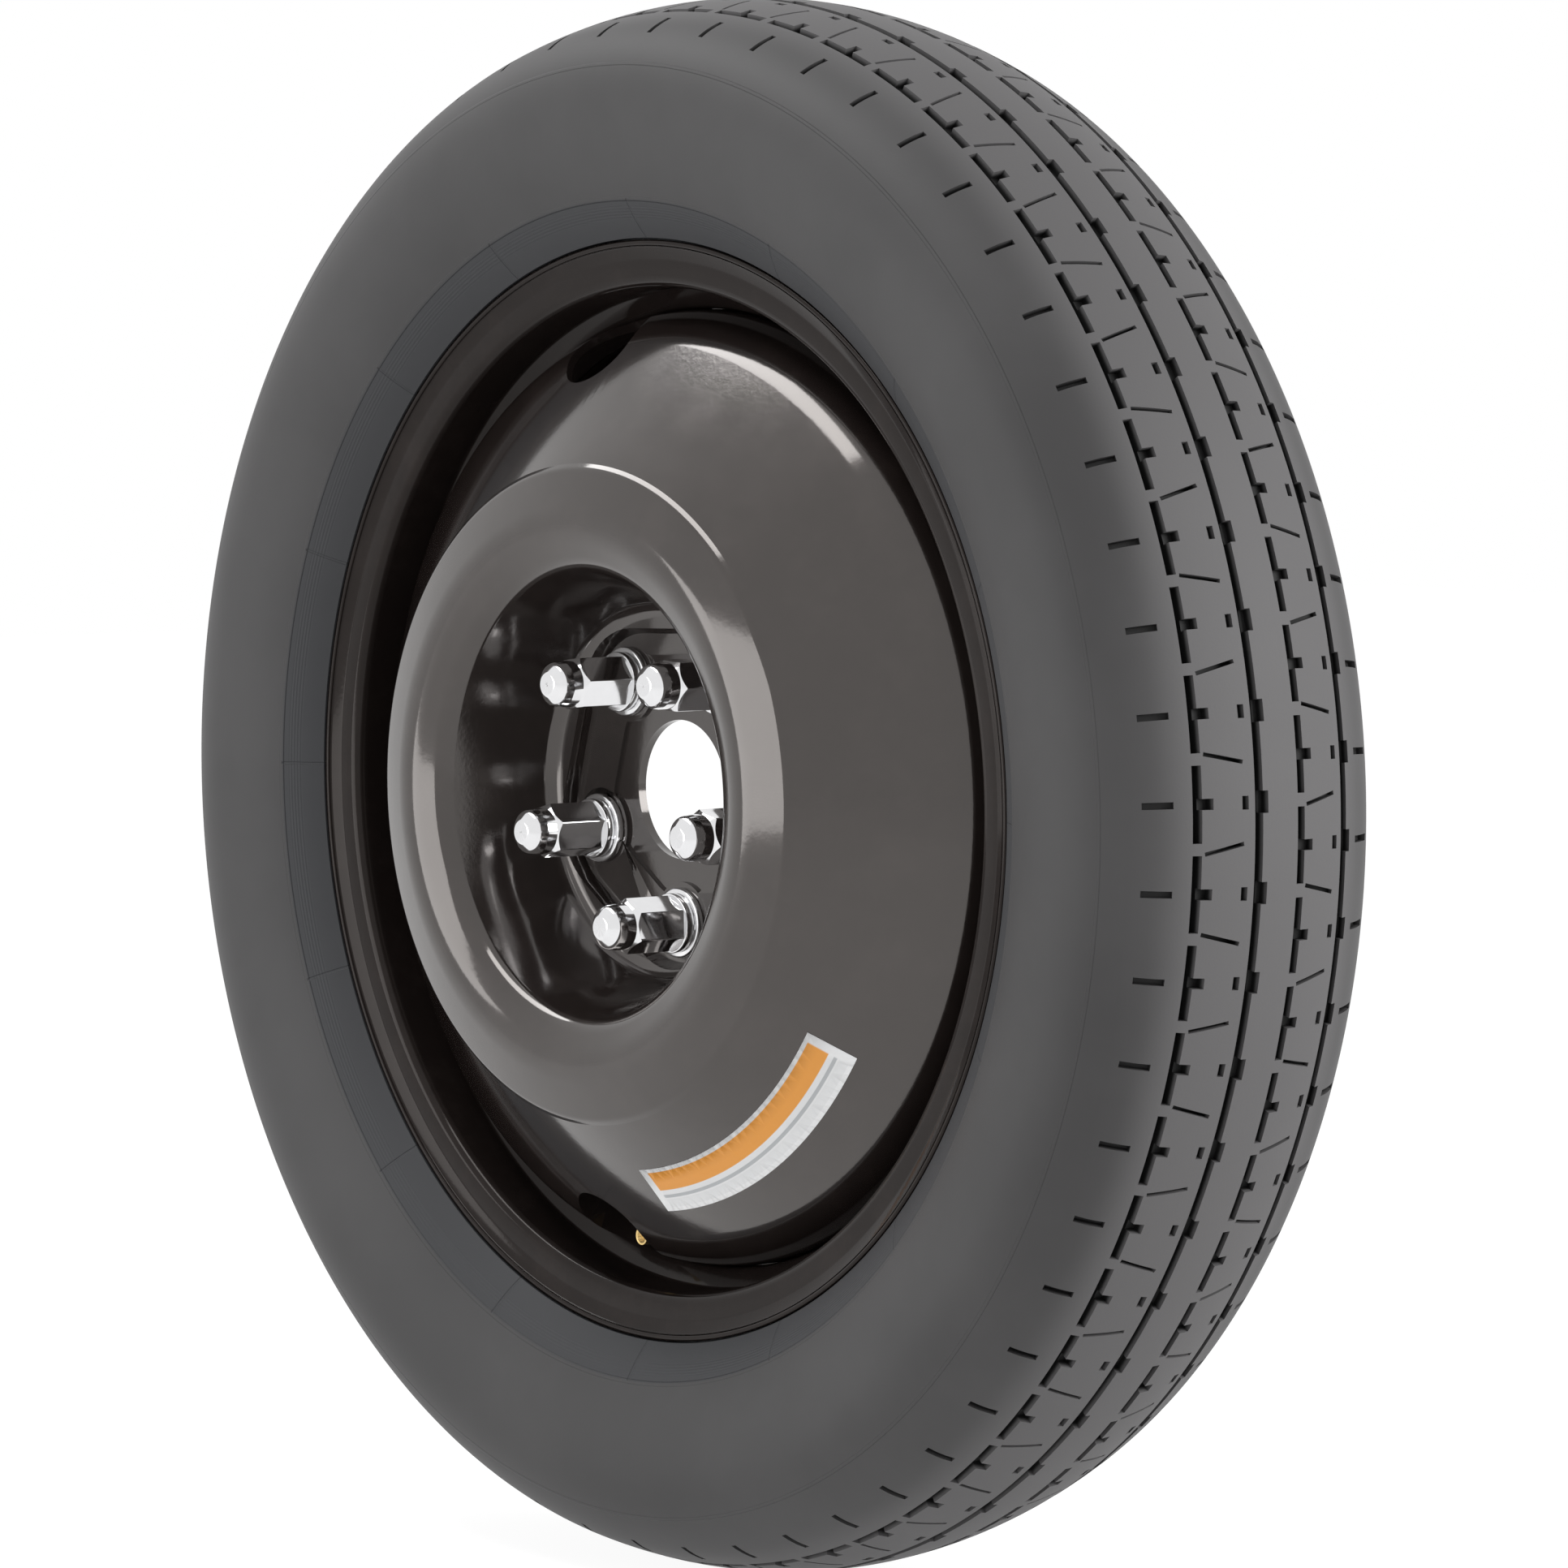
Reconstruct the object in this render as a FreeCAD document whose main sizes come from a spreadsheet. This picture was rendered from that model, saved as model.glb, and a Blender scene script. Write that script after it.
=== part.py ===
"""Temporary spare wheel: narrow tyre on a pressed steel wheel, with nuts, valve and label.

The wheel axis is Y. The hub meets the wheel at y = 0, the outer face looks to -Y and Z is up.
Sections are drawn with radius along the sketch's X and the wheel axis along its Y.
"""
import FreeCAD, Part
import math
import os

import Sketcher

Vector = FreeCAD.Vector

# Driving dimensions in millimetres and degrees
SIZES = {
    # tyre
    "tyre_radius": 339.5,
    "crown_radius": 132,
    "section_width": 154,
    "widest_radius": 290,
    "sidewall_round": 80,
    "bead_exit_radius": 236.6,
    "bead_width": 19,
    "bead_gap": 0.3,
    "casing_wall": 8.5,
    "crown_wall": 13,
    "liner_bead_radius": 236,
    "liner_bead_half": 39,
    "liner_shoulder_radius": 316,
    "liner_shoulder_half": 53,
    "liner_flat_half": 31,
    # tread
    "tread_pairs": 29,
    "tread_phase": 2,
    "groove_width": 4,
    "groove_depth": 5,
    "inner_groove_half": 11.4,
    "outer_groove_half": 39.5,
    "block_gap": 5.5,
    "stub_width": 4.5,
    "stub_length": 5,
    "sipe_width": 1.6,
    "sipe_depth": 3.5,
    "sipe_slant": 4,
    "sipe_outer_half": 36.5,
    "sipe_inner_half": 18.5,
    "slit_width": 2.8,
    "slit_depth": 3.5,
    "slit_length": 13,
    "slit_tilt": 29,
    # rim
    "rim_offset": 34,
    "rim_width": 101.6,
    "flange_half": 56.5,
    "flange_radius": 235.8,
    "flange_curl": 8,
    "flange_lip": 3,
    "seat_radius": 218.3,
    "seat_width": 22.5,
    "rim_wall": 2.6,
    "ledge_start": 10.5,
    "well_face": 28.6,
    "well_floor": 22.8,
    "well_radius": 186.5,
    # wheel disc
    "disc_radius": 206,
    "disc_wall": 3.5,
    "skirt_end": 20,
    "shoulder_y": -7,
    "ring_radius": 141,
    "ring_y": -57,
    "ring_step": 2.2,
    "crest_radius": 115,
    "crest_y": -66.5,
    "edge_radius": 97,
    "edge_y": -60,
    "floor_radius": 80,
    "floor_y": -11,
    "shoulder_round": 16,
    "crest_round": 22,
    "edge_round": 8,
    "floor_round": 8,
    "seat_face_y": -5.5,
    "hub_flat": 67,
    "hub_flat_round": 34,
    "hub_pad_margin": 4.5,
    "pad_recess": 1.5,
    "pad_recess_flat": 43,
    "pad_recess_round": 26,
    "boss_radius": 17.5,
    "bore_radius": 30,
    "vent_radius": 22.5,
    "vent_place": 197,
    "vent_tilt": 47,
    "vent_phase": 102.4,
    "vent_spacing": 202.4,
    # studs, nuts and washers
    "stud_circle": 114.3,
    "stud_count": 5,
    "stud_phase": 127.8,
    "stud_hole_radius": 7.25,
    "washer_radius": 15,
    "washer_bore": 7,
    "washer_height": 3,
    "nut_flats": 21,
    "nut_height": 41.5,
    "nut_base_radius": 12.9,
    "nut_base_height": 4,
    "nut_hex_top": 27,
    "nut_chamfer": 2.2,
    "nut_neck_radius": 10,
    "nut_dome_height": 7.5,
    "nut_tip_radius": 5,
    "nut_dome_round": 8,
    "thread_radius": 6,
    "thread_depth": 26,
    # weld between skirt and rim
    "weld_leg": 4,
    "weld_count": 6,
    "weld_angle": 30,
    # valve
    "valve_circle": 196.6,
    "valve_phase": -97.2,
    "valve_hole_radius": 5.75,
    "valve_neck_gap": 0.1,
    "valve_base_radius": 9.5,
    "valve_base_height": 9,
    "valve_collar_radius": 7.6,
    "valve_sleeve_radius": 5.6,
    "valve_collar_height": 9,
    "valve_sleeve_end": 6,
    "valve_tip_y": -7,
    "stem_radius": 3.85,
    "stem_root_radius": 3.2,
    "stem_shoulder_y": 9,
    "stem_foot_y": 35,
    "stem_chamber_radius": 2.65,
    "stem_chamber_end": 12,
    "stem_duct_radius": 1.6,
    "core_top": -4.6,
    "core_step": 1,
    "core_end": 6,
    "core_gap": 0.05,
    "core_cup_radius": 1.8,
    "core_tube_radius": 2,
    "core_guide_radius": 0.85,
    "gasket_top": 3,
    "gasket_height": 2,
    "pin_radius": 0.55,
    "pin_top": -6.3,
    "pin_collar_radius": 1.5,
    "pin_collar_y": -4,
    "pin_collar_height": 0.6,
    "poppet_radius": 1.8,
    "poppet_height": 2,
    "spring_radius": 1.2,
    "spring_wire": 0.3,
    "spring_turns": 5,
    # label
    "label_inner": 161,
    "label_outer": 179.5,
    "label_start": -83.5,
    "label_angle": 48.5,
    "label_sheet": 0.2,
    "label_gap": 0.05,
}

doc = FreeCAD.newDocument("SpareWheel")
dim = doc.addObject("Spreadsheet::Sheet", "dim")
for row, (alias, number) in enumerate(SIZES.items(), start=1):
    dim.set(f"A{row}", alias)
    dim.set(f"B{row}", str(number))
    dim.setAlias(f"B{row}", alias)
doc.recompute()


def value(expression):
    """The number that an expression on the sheet gives now."""
    result = dim.evalExpression(str(expression))
    return float(getattr(result, "Value", result))


# Sizes that follow from the driving ones
MID = "dim.rim_offset"
HALF_WIDTH = "(dim.section_width / 2)"
SEAT_HALF = "(dim.rim_width / 2)"
PITCH_ANGLE = "(180 / dim.tread_pairs)"
CROWN_CENTRE = "(dim.tyre_radius - dim.crown_radius)"
CROWN_RISE = f"(dim.widest_radius - {CROWN_CENTRE})"
SHOULDER = (
    f"((dim.crown_radius^2 - {HALF_WIDTH}^2 - {CROWN_RISE}^2)"
    f" / (2 * (dim.crown_radius - {HALF_WIDTH})))"
)
SHOULDER_HALF = f"({HALF_WIDTH} - {SHOULDER})"
TREAD_HALF = f"(dim.crown_radius * {SHOULDER_HALF} / (dim.crown_radius - {SHOULDER}))"
TREAD_EDGE = f"({CROWN_CENTRE} + dim.crown_radius * {CROWN_RISE} / (dim.crown_radius - {SHOULDER}))"
BEAD_EXIT_HALF = (
    f"({HALF_WIDTH} - dim.sidewall_round"
    " + sqrt(dim.sidewall_round^2 - (dim.widest_radius - dim.bead_exit_radius)^2))"
)
CONE_SLOPE = "((dim.shoulder_y - dim.ring_y) / (dim.disc_radius - dim.ring_radius))"
NUT_FOOT = "(dim.seat_face_y - dim.washer_height)"
STUD_RADIUS = "(dim.stud_circle / 2)"
WELL_BACK = "(dim.well_face + dim.rim_wall)"


def at_crown(half):
    """Expression for the tread's radius at a distance from the middle plane."""
    return f"({CROWN_CENTRE} + sqrt(dim.crown_radius^2 - ({half})^2))"


def on_cone(radius):
    """Expression for the place along the axis of the disc's cone at a radius."""
    return f"(dim.shoulder_y - (dim.disc_radius - ({radius})) * {CONE_SLOPE})"


def new_body(label):
    body = doc.addObject("PartDesign::Body", label)
    body.AllowCompound = True
    return body


def origin_feature(body, role):
    return next(o for o in body.Origin.OriginFeatures if o.Role == role)


def new_sketch(body, name, plane="XY_Plane", offset=None, turn_axis=None, turn=None):
    """A sketch on one of the body's own planes, moved along its normal or turned about an axis."""
    sketch = body.newObject("Sketcher::SketchObject", name)
    sketch.AttachmentSupport = [(origin_feature(body, plane), "")]
    sketch.MapMode = "FlatFace"
    if turn is not None:
        turned = FreeCAD.Rotation(turn_axis, value(turn))
        sketch.AttachmentOffset = FreeCAD.Placement(Vector(), turned)
        sketch.setExpression("AttachmentOffset.Rotation.Angle", turn)
    if offset is not None:
        sketch.setExpression("AttachmentOffset.Base.z", offset)
    return sketch


def bind(sketch, constraint, expression):
    sketch.setExpression(f"Constraints[{constraint}]", str(expression))


def pin(sketch, geometry, position, point):
    """Tie a point of the sketch to two expressions."""
    for kind, expression in zip(("DistanceX", "DistanceY"), point):
        tie = Sketcher.Constraint(kind, geometry, position, value(expression))
        bind(sketch, sketch.addConstraint(tie), expression)


def number_point(point):
    return Vector(value(point[0]), value(point[1]), 0)


def arc_between(start, end, radius):
    """An arc from start to end. A positive radius bulges to the right of the way from start to end."""
    chord = end - start
    side = Vector(chord.y, -chord.x, 0).normalize()
    sagitta = abs(radius) - math.sqrt(radius**2 - (chord.Length / 2) ** 2)
    return Part.Arc(start, (start + end) / 2 + side * math.copysign(sagitta, radius), end)


def outline(sketch, corners):
    """A closed outline. A corner is (x, y), or (x, y, r) where an arc of radius r leads to the next."""
    points = [number_point(c) for c in corners]
    count = len(corners)
    first = sketch.GeometryCount
    for i, corner in enumerate(corners):
        start, end = points[i], points[(i + 1) % count]
        if len(corner) == 3:
            sketch.addGeometry(arc_between(start, end, value(corner[2])))
        else:
            sketch.addGeometry(Part.LineSegment(start, end))
    ends = [run_ends(sketch, first + i, points[i]) for i in range(count)]
    for i, corner in enumerate(corners):
        here, after = first + i, first + (i + 1) % count
        joint = Sketcher.Constraint("Coincident", here, ends[i][1], after, ends[(i + 1) % count][0])
        sketch.addConstraint(joint)
        pin(sketch, here, ends[i][0], corner)
        if len(corner) == 3:
            size = Sketcher.Constraint("Radius", here, abs(value(corner[2])))
            bind(sketch, sketch.addConstraint(size), f"abs({corner[2]})")


def run_ends(sketch, geometry, start):
    """The vertex numbers of a run's start and end, because an arc may be stored the other way round."""
    forward = sketch.getPoint(geometry, 1).distanceToPoint(start) < 1e-6
    return (1, 2) if forward else (2, 1)


def sheet_outline(sketch, corners, wall):
    """A bent sheet: a chain of corners, and a second chain at the wall's distance on its left."""
    points = [number_point(c) for c in corners]
    steps = [(b - a).normalize() for a, b in zip(points, points[1:])]
    lefts = [Vector(-step.y, step.x, 0) for step in steps]
    shifts = [lefts[0]]
    for before, after in zip(lefts, lefts[1:]):
        shifts.append((before + after) / (1 + before.dot(after)))
    shifts.append(lefts[-1])
    backs = [p + shift * value(wall) for p, shift in zip(points, shifts)]
    front = [sketch.addGeometry(Part.LineSegment(a, b)) for a, b in zip(points, points[1:])]
    rear = [sketch.addGeometry(Part.LineSegment(a, b)) for a, b in zip(backs, backs[1:])]
    caps = [sketch.addGeometry(Part.LineSegment(points[i], backs[i])) for i in (0, -1)]
    for run, corner in zip(front, corners):
        pin(sketch, run, 1, corner)
    pin(sketch, front[-1], 2, corners[-1])
    for chain in (front, rear):
        for before, after in zip(chain, chain[1:]):
            sketch.addConstraint(Sketcher.Constraint("Coincident", before, 2, after, 1))
    for cap, end, vertex in ((caps[0], 0, 1), (caps[1], -1, 2)):
        sketch.addConstraint(Sketcher.Constraint("Coincident", cap, 1, front[end], vertex))
        sketch.addConstraint(Sketcher.Constraint("Coincident", cap, 2, rear[end], vertex))
        sketch.addConstraint(Sketcher.Constraint("Perpendicular", cap, front[end]))
    for run, back in zip(front, rear):
        sketch.addConstraint(Sketcher.Constraint("Parallel", run, back))
        gap = Sketcher.Constraint("Distance", back, 1, run, value(wall))
        bind(sketch, sketch.addConstraint(gap), wall)
    return [(p.x, p.y) for p in points], [(p.x, p.y) for p in backs]


def circle(sketch, centre, radius):
    ring = sketch.addGeometry(Part.Circle(number_point(centre), Vector(0, 0, 1), value(radius)))
    pin(sketch, ring, 3, centre)
    bind(sketch, sketch.addConstraint(Sketcher.Constraint("Radius", ring, value(radius))), radius)


def rounded_polygon(sketch, flat, corner_round, sides, phase):
    """A regular polygon about the origin, by its flat's distance, with arcs for corners."""
    inner = f"(({flat}) - ({corner_round}))"
    reach = f"({inner} / cos(180 / {sides}))"
    corners = []
    for k in range(value_count(sides)):
        turn = f"({phase} + {k} * 360 / {sides})"
        for side, bulge in ((-1, f"({corner_round})"), (1, None)):
            facing = f"({turn} + {side} * 180 / {sides})"
            x = f"{reach} * cos({turn}) + ({corner_round}) * cos({facing})"
            y = f"{reach} * sin({turn}) + ({corner_round}) * sin({facing})"
            corners.append((x, y, bulge) if bulge else (x, y))
    outline(sketch, corners)


def value_count(expression):
    return int(round(value(expression)))


def revolve(body, name, sketch, axis="V_Axis", kind="Revolution", angle=None):
    feature = body.newObject(f"PartDesign::{kind}", name)
    feature.Profile = sketch
    feature.ReferenceAxis = (sketch, [axis])
    feature.Refine = False
    feature.Angle = 360
    if angle is not None:
        feature.setExpression("Angle", angle)
    return feature


def extrude(body, name, sketch, length, kind="Pocket", symmetric=False, reverse=False):
    feature = body.newObject(f"PartDesign::{kind}", name)
    feature.Profile = sketch
    feature.setExpression("Length", length)
    feature.SideType = "Symmetric" if symmetric else "One side"
    feature.Refine = False
    feature.Reversed = reverse
    return feature


def pattern(body, name, originals, count, angle=None):
    """Copies of features about the wheel's axis."""
    feature = body.newObject("PartDesign::PolarPattern", name)
    feature.Originals = originals
    feature.Refine = False
    feature.Axis = (origin_feature(body, "Y_Axis"), [""])
    feature.Angle = 360
    if angle is not None:
        feature.setExpression("Angle", angle)
    feature.setExpression("Occurrences", count)
    body.Tip = feature
    return feature


def round_edges(body, name, base, radius, places):
    """Fillet the round edges that lie at (radius, y) places."""
    doc.recompute()
    names = []
    for number, edge in enumerate(base.Shape.Edges, start=1):
        curve = edge.Curve
        if not isinstance(curve, Part.Circle):
            continue
        if any(math.hypot(curve.Radius - r, curve.Center.y - y) < 0.01 for r, y in places):
            names.append(f"Edge{number}")
    feature = body.newObject("PartDesign::Fillet", name)
    feature.Base = (base, names)
    feature.setExpression("Radius", radius)
    return feature


def turn_about_axle(piece, angle):
    """Turn a piece about the wheel's axis, from +X towards +Z."""
    piece.Placement = FreeCAD.Placement(Vector(), FreeCAD.Rotation(Vector(0, -1, 0), value(angle)))
    piece.setExpression("Placement.Rotation.Angle", angle)


def stand_at(piece, radius, angle):
    """Move a piece to a radius and an angle about the wheel's axis."""
    piece.setExpression("Placement.Base.x", f"{radius} * cos({angle})")
    piece.setExpression("Placement.Base.z", f"{radius} * sin({angle})")


def turned_piece(label, corners):
    """A body turned about its own Y axis from one closed outline."""
    body = new_body(label)
    sketch = new_sketch(body, f"{label}_section")
    outline(sketch, corners)
    revolve(body, f"{label}_turned", sketch)
    return body


def tyre_section(sketch):
    """The hollow casing: beads, sidewalls, round shoulders, crown and the inner liner."""
    base = "(dim.seat_radius + dim.bead_gap)"
    heel = f"({SEAT_HALF} - dim.bead_gap)"
    toe = f"({heel} - dim.bead_width)"
    liner_side = f"({HALF_WIDTH} - dim.casing_wall)"
    liner_crown = "(dim.tyre_radius - dim.crown_wall)"
    outside = [
        (base, toe),
        (base, heel),
        ("dim.bead_exit_radius", heel),
        ("dim.bead_exit_radius", BEAD_EXIT_HALF, "dim.sidewall_round"),
        ("dim.widest_radius", HALF_WIDTH, SHOULDER),
        (TREAD_EDGE, TREAD_HALF, "dim.crown_radius"),
    ]
    inside = [
        (liner_crown, "dim.liner_flat_half"),
        ("dim.liner_shoulder_radius", "dim.liner_shoulder_half"),
        ("dim.widest_radius", liner_side),
        ("dim.liner_bead_radius", "dim.liner_bead_half"),
    ]
    corners = [(c[0], f"{MID} - {c[1]}", *c[2:]) for c in outside]
    arcs_back = [c[2:] for c in outside]
    for i in range(len(outside) - 1, -1, -1):
        arc = arcs_back[i - 1] if i else ()
        corners.append((outside[i][0], f"{MID} + {outside[i][1]}", *arc))
    corners += [(r, f"{MID} + {half}") for r, half in reversed(inside)]
    corners += [(r, f"{MID} - {half}") for r, half in inside]
    outline(sketch, corners)


# The tread's two halves are alike: each has a broken groove, slanted sipes and a straight groove.
# The far half is moved along the axis by HALF_SHIFT and round the tyre by half a pitch.
HALF_SHIFT = "(dim.outer_groove_half + dim.inner_groove_half)"
HALVES = (("near", "0", "0"), ("far", HALF_SHIFT, f"{PITCH_ANGLE} / 2"))


def cut_straight_grooves(body):
    """The two grooves that run round the tyre without a break."""
    sketch = new_sketch(body, "straight_groove_section")
    rim = "(dim.tyre_radius + dim.groove_depth)"
    for _, shift, _ in HALVES:
        half = f"({shift} - dim.inner_groove_half)"
        floor = f"({at_crown(half)} - dim.groove_depth)"
        low = f"{MID} + {half} - dim.groove_width / 2"
        high = f"{MID} + {half} + dim.groove_width / 2"
        outline(sketch, [(floor, low), (rim, low), (rim, high), (floor, high)])
    revolve(body, "straight_grooves", sketch, kind="Groove")


def tread_pocket(body, name, turn, corners, half, depth):
    """A pocket into the tread, drawn above it: the wheel axis along X, the way round along Y."""
    above = "(dim.tyre_radius + dim.groove_depth)"
    sketch = new_sketch(body, f"{name}_outline", "YZ_Plane", turn_axis=Vector(1, 0, 0), turn=turn)
    sketch.setExpression("AttachmentOffset.Base.y", f"-{above} * sin({turn})")
    sketch.setExpression("AttachmentOffset.Base.z", f"{above} * cos({turn})")
    outline(sketch, corners)
    return extrude(body, name, sketch, f"{above} - {at_crown(half)} + {depth}")


def broken_groove(body, half_name, shift, turn):
    """One length of the groove that has a tie across it at each pitch, with a stub in its middle."""
    half = f"({shift} - dim.outer_groove_half)"
    reach = f"((dim.tyre_radius * sin({PITCH_ANGLE}) - dim.block_gap) / 2)"
    low, high = (f"{MID} + {half} {side} dim.groove_width / 2" for side in "-+")
    stub, tip = "dim.stub_width / 2", f"{high} + dim.stub_length"
    corners = [
        (low, f"-{reach}"), (high, f"-{reach}"), (high, f"-{stub}"), (tip, f"-{stub}"),
        (tip, stub), (high, stub), (high, reach), (low, reach),
    ]
    return tread_pocket(body, f"{half_name}_groove", turn, corners, half, "dim.groove_depth")


def sipe(body, name, shift, turn, slant):
    """A narrow cut from the broken groove's tie towards the straight groove."""
    start = f"{MID} + {shift} - dim.sipe_outer_half"
    end = f"{MID} + {shift} - dim.sipe_inner_half"
    lean, thick = f"({slant} * dim.sipe_slant / 2)", "dim.sipe_width / 2"
    corners = [
        (start, f"-{lean} - {thick}"),
        (end, f"{lean} - {thick}"),
        (end, f"{lean} + {thick}"),
        (start, f"-{lean} + {thick}"),
    ]
    half = f"({shift} - dim.sipe_outer_half)"
    return tread_pocket(body, name, turn, corners, half, "dim.sipe_depth")


def cut_tread(body):
    """Broken grooves and shoulder slits once a pitch, sipes whose slant changes from pitch to pitch."""
    grooves = [broken_groove(body, name, shift, turn) for name, shift, turn in HALVES]
    pattern(body, "broken_groove_ring", grooves, "2 * dim.tread_pairs")
    sipes = []
    for name, shift, turn in HALVES:
        for slant, pitch in ((1, "0.5"), (-1, "1.5")):
            at = f"{turn} + {pitch} * {PITCH_ANGLE}"
            sipes.append(sipe(body, f"{name}_sipe_{len(sipes)}", shift, at, slant))
    pattern(body, "sipe_ring", sipes, "dim.tread_pairs")
    cut_slits(body, "near_slits", "-", None)
    cut_slits(body, "far_slits", "+", f"{PITCH_ANGLE} / 2")


def cut_slits(body, name, side, turn):
    """One slit a pitch across a round shoulder, square to its surface."""
    sketch = new_sketch(body, f"{name}_outline", turn_axis=Vector(0, 1, 0), turn=turn)
    corners = []
    for along, into in ((-1, 1), (1, 1), (1, -1), (-1, -1)):
        depth = f"({SHOULDER} + {into} * dim.slit_depth)"
        reach = f"({along} * dim.slit_length / 2)"
        radius = f"dim.widest_radius + {depth} * cos(dim.slit_tilt) - {reach} * sin(dim.slit_tilt)"
        half = f"{SHOULDER_HALF} + {depth} * sin(dim.slit_tilt) + {reach} * cos(dim.slit_tilt)"
        corners.append((radius, f"{MID} {side} ({half})"))
    outline(sketch, corners)
    slits = extrude(body, name, sketch, "dim.slit_width", symmetric=True)
    pattern(body, f"{name}_ring", [slits], "2 * dim.tread_pairs")


def make_tyre():
    body = new_body("tyre")
    section = new_sketch(body, "tyre_section")
    tyre_section(section)
    revolve(body, "tyre_casing", section)
    cut_straight_grooves(body)
    cut_tread(body)
    turn_about_axle(body, "dim.tread_phase")
    return body


def make_rim():
    """Rolled rim: two curled flanges, bead seats, the ledge that holds the disc and the deep well."""
    body = new_body("rim")
    section = new_sketch(body, "rim_section")
    ledge = "dim.disc_radius + dim.bead_gap + dim.rim_wall"
    curl_foot = "dim.flange_radius - dim.flange_curl"
    lip = "(dim.flange_half - dim.flange_lip)"
    sheet_outline(section, [
        ("dim.flange_radius", f"{MID} - dim.flange_half"),
        ("dim.flange_radius", f"{MID} - {lip}"),
        (curl_foot, f"{MID} - {SEAT_HALF}"),
        ("dim.seat_radius", f"{MID} - {SEAT_HALF}"),
        ("dim.seat_radius", f"{MID} - {SEAT_HALF} + dim.seat_width"),
        (ledge, "dim.ledge_start"),
        (ledge, WELL_BACK),
        ("dim.well_radius", WELL_BACK),
        ("dim.well_radius", f"{WELL_BACK} + dim.well_floor"),
        ("dim.seat_radius", f"{MID} + {SEAT_HALF} - dim.seat_width"),
        ("dim.seat_radius", f"{MID} + {SEAT_HALF}"),
        (curl_foot, f"{MID} + {SEAT_HALF}"),
        ("dim.flange_radius", f"{MID} + {lip}"),
        ("dim.flange_radius", f"{MID} + dim.flange_half"),
    ], "dim.rim_wall")
    revolve(body, "rim_rolled", section)
    middle = f"-({WELL_BACK} - dim.rim_wall / 2)"
    hole = new_sketch(body, "valve_hole_outline", "XZ_Plane", middle)
    circle(hole, ("dim.valve_circle", "0"), "dim.valve_hole_radius")
    extrude(body, "valve_hole", hole, "2 * dim.rim_wall", symmetric=True)
    turn_about_axle(body, "dim.valve_phase")
    return body


def make_disc():
    """Pressed disc: skirt, cone with a ring step, crest, deep bowl and the pad for the hub."""
    body = new_body("wheel_disc")
    section = new_sketch(body, "disc_section")
    step_radius = "(dim.ring_radius - dim.ring_step)"
    step_y = "dim.ring_y - dim.ring_step"
    front, back = sheet_outline(section, [
        ("dim.bore_radius", "dim.floor_y"),
        ("dim.floor_radius", "dim.floor_y"),
        ("dim.edge_radius", "dim.edge_y"),
        ("dim.crest_radius", "dim.crest_y"),
        (step_radius, step_y),
        ("dim.ring_radius", "dim.ring_y"),
        ("dim.disc_radius", "dim.shoulder_y"),
        ("dim.disc_radius", "dim.skirt_end"),
    ], "dim.disc_wall")
    pressed = revolve(body, "disc_pressed", section)
    rounds = (("floor", 1, True), ("edge", 2, False), ("crest", 3, False), ("shoulder", 6, False))
    for place, corner, hollow in rounds:
        inner, outer = (back, front) if not hollow else (front, back)
        pressed = round_edges(body, f"{place}_inside", pressed, f"dim.{place}_round", [inner[corner]])
        wider = f"dim.{place}_round + dim.disc_wall"
        pressed = round_edges(body, f"{place}_outside", pressed, wider, [outer[corner]])
    make_hub_pad(body)
    cut_disc_holes(body)
    turn_about_axle(body, "dim.vent_phase")
    return body


def make_hub_pad(body):
    """A five-sided pad that stands back to the hub, with its hollow and the nut seats in front."""
    phase = "(dim.stud_phase - dim.vent_phase)"
    sides = "dim.stud_count"
    pad = new_sketch(body, "pad_outline", "XZ_Plane", "0")
    margin = "dim.hub_pad_margin"
    rounded_polygon(pad, f"dim.hub_flat + {margin}", f"dim.hub_flat_round + {margin}", sides, phase)
    back_of_floor = "(dim.floor_y + dim.disc_wall)"
    extrude(body, "hub_pad", pad, f"-{back_of_floor} + dim.disc_wall / 2", "Pad")

    hollow = new_sketch(body, "hollow_outline", "XZ_Plane", "-dim.floor_y")
    rounded_polygon(hollow, "dim.hub_flat", "dim.hub_flat_round", sides, phase)
    extrude(body, "pad_hollow", hollow, "dim.seat_face_y - dim.floor_y")

    recess = new_sketch(body, "recess_outline", "XZ_Plane", "-dim.seat_face_y")
    rounded_polygon(recess, "dim.pad_recess_flat", "dim.pad_recess_round", sides, phase)
    extrude(body, "pad_recess", recess, "dim.pad_recess")

    boss = new_sketch(body, "boss_outline", "XZ_Plane", "-dim.seat_face_y - dim.pad_recess")
    boss.setExpression("AttachmentOffset.Base.z", "-(dim.seat_face_y + dim.pad_recess)")
    place = (f"{STUD_RADIUS} * cos{phase}", f"{STUD_RADIUS} * sin{phase}")
    circle(boss, place, "dim.boss_radius")
    bosses = extrude(body, "nut_boss", boss, "dim.pad_recess", "Pad")
    pattern(body, "nut_bosses", [bosses], sides)


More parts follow.
